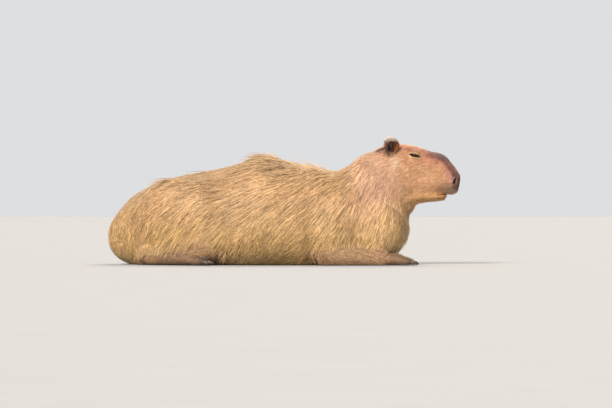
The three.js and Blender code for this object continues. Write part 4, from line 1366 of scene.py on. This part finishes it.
def growWhiskers(material):
    # Stiff tapered hairs from the pads beside the nostrils, swept back and down.
    cfg = whiskers
    count = cfg["count"]
    x, y, z = skinPoints.T
    across, up = (x - cfg["pad"][0]) / cfg["reach"][0], (z - cfg["pad"][1]) / cfg["reach"][1]
    roots = scatter(np.exp(-(across**2) - up**2) * (np.abs(y) > cfg["beside"]), count, cfg["seed"])
    draws = roots["draws"]
    roots["colour"] = np.tile(linear(cfg["colour"]), (count, 1))
    side = np.sign(roots["at"][:, 1])
    back = draws.uniform(0.5, 1.0, count)
    out = draws.uniform(0.75, 1.1, count)
    way = unit(np.stack([-back, side * out, draws.uniform(-0.35, 0.1, count)], 1))
    length = draws.uniform(*cfg["length"], count)
    share = np.linspace(0, 1, cfg["stops"])[None, :, None]
    spine = roots["at"][:, None] - roots["normal"][:, None] + way[:, None] * share * length[:, None, None]
    bend = np.array([-0.35, 0, -1])[None, None] * (cfg["droop"] * length)[:, None, None] * share**2
    width = np.linspace(1, cfg["tip"], cfg["stops"] - 1)[None] * cfg["width"] * np.ones((count, 1))
    normals = np.repeat(roots["normal"][:, None], cfg["stops"], axis=1)
    addCoat("whiskers", spine + bend, normals, width, width * 0.9, roots, draws.random((count, 2)), material)


# Materials

def addNode(tree, kind, inputs=None, **settings):
    node = tree.nodes.new(f"ShaderNode{kind}")
    for key, value in settings.items():
        setattr(node, key, value)
    for key, value in (inputs or {}).items():
        if isinstance(value, bpy.types.NodeSocket):
            tree.links.new(value, node.inputs[key])
        else:
            node.inputs[key].default_value = value
    return node


def newMaterial(name):
    material = bpy.data.materials.new(name)
    material.use_nodes = True
    tree = material.node_tree
    tree.nodes.clear()
    return material, tree


def clouded(tree, colours, scale, detail):
    # Two colours that wander into each other over the object, and how far, for a bump.
    place = addNode(tree, "TexCoord")
    noise = addNode(tree, "TexNoise", {"Vector": place.outputs["Object"], "Scale": scale, "Detail": detail})
    dark, light = ((*linear(text), 1) for text in colours)
    colour = addNode(tree, "Mix", {0: noise.outputs[0], 6: dark, 7: light}, data_type="RGBA")
    return colour.outputs[2], noise.outputs[0]


def finish(tree, shader):
    addNode(tree, "OutputMaterial", {"Surface": shader.outputs[0]})


def hairMaterial():
    # Coarse guard hair: a soft sheen, darker at the root, with pale worn tips and each tuft its own tone.
    material, tree = newMaterial("guard_hair")
    base = addNode(tree, "Attribute", attribute_name="markings")
    strand = addNode(tree, "Attribute", attribute_name="strand")
    parts = addNode(tree, "SeparateColor", {0: strand.outputs["Color"]})
    tones = {1: (0.62, 1.08), 0: (0.52, 1.34), 2: (0.74, 1.2)}  # along the tuft, by tuft, by clump
    tone = None
    for part, (low, high) in tones.items():
        step = addNode(tree, "MapRange", {0: parts.outputs[part], 3: low, 4: high})
        if tone:
            step = addNode(tree, "Math", {0: tone.outputs[0], 1: step.outputs[0]}, operation="MULTIPLY")
        tone = step
    shade = addNode(
        tree, "VectorMath", {0: base.outputs["Color"], "Scale": tone.outputs[0]}, operation="SCALE",
    )
    # Tips are worn more on some tufts, and where the coat is pale
    worn = addNode(tree, "Math", {0: parts.outputs[0], 1: parts.outputs[1]}, operation="MULTIPLY")
    bases = addNode(tree, "SeparateColor", {0: base.outputs["Color"]})
    worn = addNode(tree, "Math", {0: worn.outputs[0], 1: bases.outputs[1]}, operation="MULTIPLY")
    tip = addNode(tree, "MapRange", {0: worn.outputs[0], 1: 0.04, 2: 0.4, 3: 0.0, 4: 0.4})
    colour = addNode(tree, "Mix", {
        0: tip.outputs[0], 6: shade.outputs[0], 7: (*linear("#F2DCC6"), 1),
    }, data_type="RGBA")
    shader = addNode(tree, "BsdfPrincipled", {
        "Base Color": colour.outputs[2], "Roughness": 0.55, "Specular IOR Level": 0.4,
        "Sheen Weight": 0.15, "Sheen Roughness": 0.5,
    })
    finish(tree, shader)
    return material


def skinMaterial():
    # Hide under short hair: matt where it is haired and darkened there with painted shade under the coat,
    # faintly greasy and pebbled where it is bare.
    material, tree = newMaterial("animal_hide")
    place = addNode(tree, "TexCoord")
    base = addNode(tree, "Attribute", attribute_name="markings")
    bare = addNode(tree, "Attribute", attribute_name="bareness")
    # A mottle of about 8 mm; the bump below is pebbles of 1.6 mm on bare hide and hair of 1.1 mm elsewhere
    mottle = addNode(tree, "TexNoise", {"Vector": place.outputs["Object"], "Scale": 120.0, "Detail": 4.0})
    mottleShade = addNode(tree, "MapRange", {0: mottle.outputs[0], 1: 0.3, 2: 0.7, 3: 0.75, 4: 1.0})
    # Haired skin is darkened to about 0.62 as painted shade under the coat.
    coatShade = addNode(tree, "MapRange", {0: bare.outputs["Fac"], 3: 0.62, 4: 1.0})
    depth = addNode(tree, "Math", {0: mottleShade.outputs[0], 1: coatShade.outputs[0]}, operation="MULTIPLY")
    shade = addNode(
        tree, "VectorMath", {0: base.outputs["Color"], "Scale": depth.outputs[0]}, operation="SCALE",
    )
    pebbles = addNode(tree, "TexVoronoi", {"Vector": place.outputs["Object"], "Scale": 620.0})
    fuzz = addNode(tree, "TexNoise", {"Vector": place.outputs["Object"], "Scale": 900.0, "Detail": 3.0})
    grains = {2: fuzz.outputs[0], 3: pebbles.outputs["Distance"]}
    height = addNode(tree, "Mix", {0: bare.outputs["Fac"], **grains})
    bump = addNode(tree, "Bump", {"Height": height.outputs[0], "Strength": 0.5, "Distance": 0.0006})
    rough = addNode(tree, "MapRange", {0: bare.outputs["Fac"], 3: 0.8, 4: 0.58})
    shader = addNode(tree, "BsdfPrincipled", {
        "Base Color": shade.outputs[0], "Roughness": rough.outputs[0], "Normal": bump.outputs[0],
        "Specular IOR Level": 0.3,
    })
    finish(tree, shader)
    return material


hair = hairMaterial()
skin.data.materials.clear()
skin.data.materials.append(skinMaterial())
growBody(hair)
growStrays(hair)
growWhiskers(hair)
legs = np.maximum(fields["leg"], fields["foot"] * 0.9)
shortChances = {
    "face_coat": fade(fields["head"], 0.1, 0.6) * (1 - fields["ear"]) * (1 - fade(skinBare, 0.15, 0.45)),
    "leg_coat": legs * (1 - fade(skinBare, 0.5, 0.9)) * fade(skinPoints[:, 2], 1.5, 6),
    "ear_coat": fields["ear"] * (1 - 0.75 * skinBare),
    "ear_rim": fields["ear"] * fade(fields["earUp"], 40, 48),
}
for name, chance in shortChances.items():
    growShort(name, chance, hair)


# Eyes and claws

def eyeMaterial():
    # A wet, nearly black eye: brown deep inside in clouds of 2.5 mm, with a clear hard gloss.
    material, tree = newMaterial("wet_cornea")
    colour, grain = clouded(tree, ("#120A08", "#2A1710"), 400.0, 2.0)
    shader = addNode(tree, "BsdfPrincipled", {
        "Base Color": colour, "Roughness": 0.14, "IOR": 1.38, "Specular IOR Level": 0.35,
    })
    finish(tree, shader)
    return material


def hornMaterial():
    # Claw horn: dark and semi-gloss, with fine growth marks of 1.4 mm and paler worn places.
    material, tree = newMaterial("claw_horn")
    colour, grain = clouded(tree, ("#2B211C", "#5A4A3E"), 700.0, 3.0)
    bump = addNode(tree, "Bump", {"Height": grain, "Strength": 0.4, "Distance": 0.0004})
    shader = addNode(tree, "BsdfPrincipled", {
        "Base Color": colour, "Roughness": 0.38, "Normal": bump.outputs[0],
    })
    finish(tree, shader)
    return material


def growEyes(material):
    for word, side in sides.items():
        bm = bmesh.new()
        ball = bmesh.ops.create_icosphere(bm, subdivisions=4, radius=eye["radius"] * 0.001)["verts"]
        bmesh.ops.translate(bm, verts=ball, vec=Vector(toRow(mirrored(eye["at"], side))))
        piece = newObject(f"eyeball_{word}", meshOf(bm, f"eyeball_{word}"), material)
        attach(piece, "root")
        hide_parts(f"eye_{word}")


def growClaws(material):
    for word, side in sides.items():
        for kind, foot in feet.items():
            bm = bmesh.new()
            for number in range(foot["toes"]):
                layBall(bm, limbSurface(claw(side, foot, number)), *fineness["claw"])
            bmesh.ops.recalc_face_normals(bm, faces=bm.faces)
            piece = newObject(f"{kind}_claws_{word}", meshOf(bm, f"{kind}_claws_{word}"), material)
            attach(piece, "root")
            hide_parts(*[f"{kind}_claw_{word}_{i + 1}" for i in range(foot["toes"])])


growEyes(eyeMaterial())
growClaws(hornMaterial())
fleshNodes = [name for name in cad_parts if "claw" not in name and not name.startswith("eye")]
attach(skin, "root")
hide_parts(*fleshNodes)
print("eyes and claws set")


# Camera, floor and light

view = {
    "row": 0.071, "height": 0.179,  # the middle of the picture, in metres
    "eyeHeight": 0.165, "far": 10.0, "wide": 1.8, "sensor": 36, "clip": 100,
}


def setCamera():
    data = bpy.data.cameras.new("camera")
    data.lens = view["sensor"] * view["far"] / view["wide"]
    data.sensor_width = view["sensor"]
    data.shift_y = (view["height"] - view["eyeHeight"]) / view["wide"]
    data.clip_end = view["clip"]
    camera = bpy.data.objects.new("camera", data)
    camera.location = (view["row"], noseTip[1] - view["far"], view["eyeHeight"])
    camera.rotation_euler = (math.radians(90), 0, 0)
    bpy.context.scene.collection.objects.link(camera)
    bpy.context.scene.camera = camera


studio = {"floor": ("#A5A7AB", "#ABADB1"), "size": 60, "sky": "#F2F3F5", "skyStrength": 0.82}


def floorMaterial():
    # Plain matt studio card with the faintest mottle, in clouds of about 17 cm.
    material, tree = newMaterial("studio_card")
    colour, grain = clouded(tree, studio["floor"], 6.0, 3.0)
    shader = addNode(tree, "BsdfPrincipled", {"Base Color": colour, "Roughness": 0.9})
    finish(tree, shader)
    return material


def setFloor():
    bm = bmesh.new()
    bmesh.ops.create_grid(bm, x_segments=2, y_segments=2, size=studio["size"])
    piece = newObject("studio_floor", meshOf(bm, "studio_floor"), floorMaterial())


lamps = {  # wide soft lamps far off, so that the floor is lit evenly; their width is in degrees
    "key": {"from": (-0.4, -1.0, 0.68), "strength": 4.3, "wide": 16, "colour": "#FFF6E5"},
    "rim": {"from": (0.35, 1.0, 0.9), "strength": 1.8, "wide": 24, "colour": "#FFE9C8"},
}


def setLights():
    for name, lamp in lamps.items():
        data = bpy.data.lights.new(name, "SUN")
        data.energy = lamp["strength"]
        data.angle = math.radians(lamp["wide"])
        data.color = linear(lamp["colour"])
        light = bpy.data.objects.new(name, data)
        light.location = lamp["from"]
        light.rotation_euler = (-Vector(lamp["from"])).to_track_quat("-Z", "Y").to_euler()
        bpy.context.scene.collection.objects.link(light)
    world = bpy.data.worlds.new("studio")
    world.use_nodes = True
    sky = world.node_tree.nodes["Background"].inputs
    sky["Color"].default_value = (*linear(studio["sky"]), 1)
    sky["Strength"].default_value = studio["skyStrength"]
    bpy.context.scene.world = world
    bpy.context.scene.view_settings.view_transform = "Standard"


setCamera()
setFloor()
setLights()
print("camera, floor and light set")
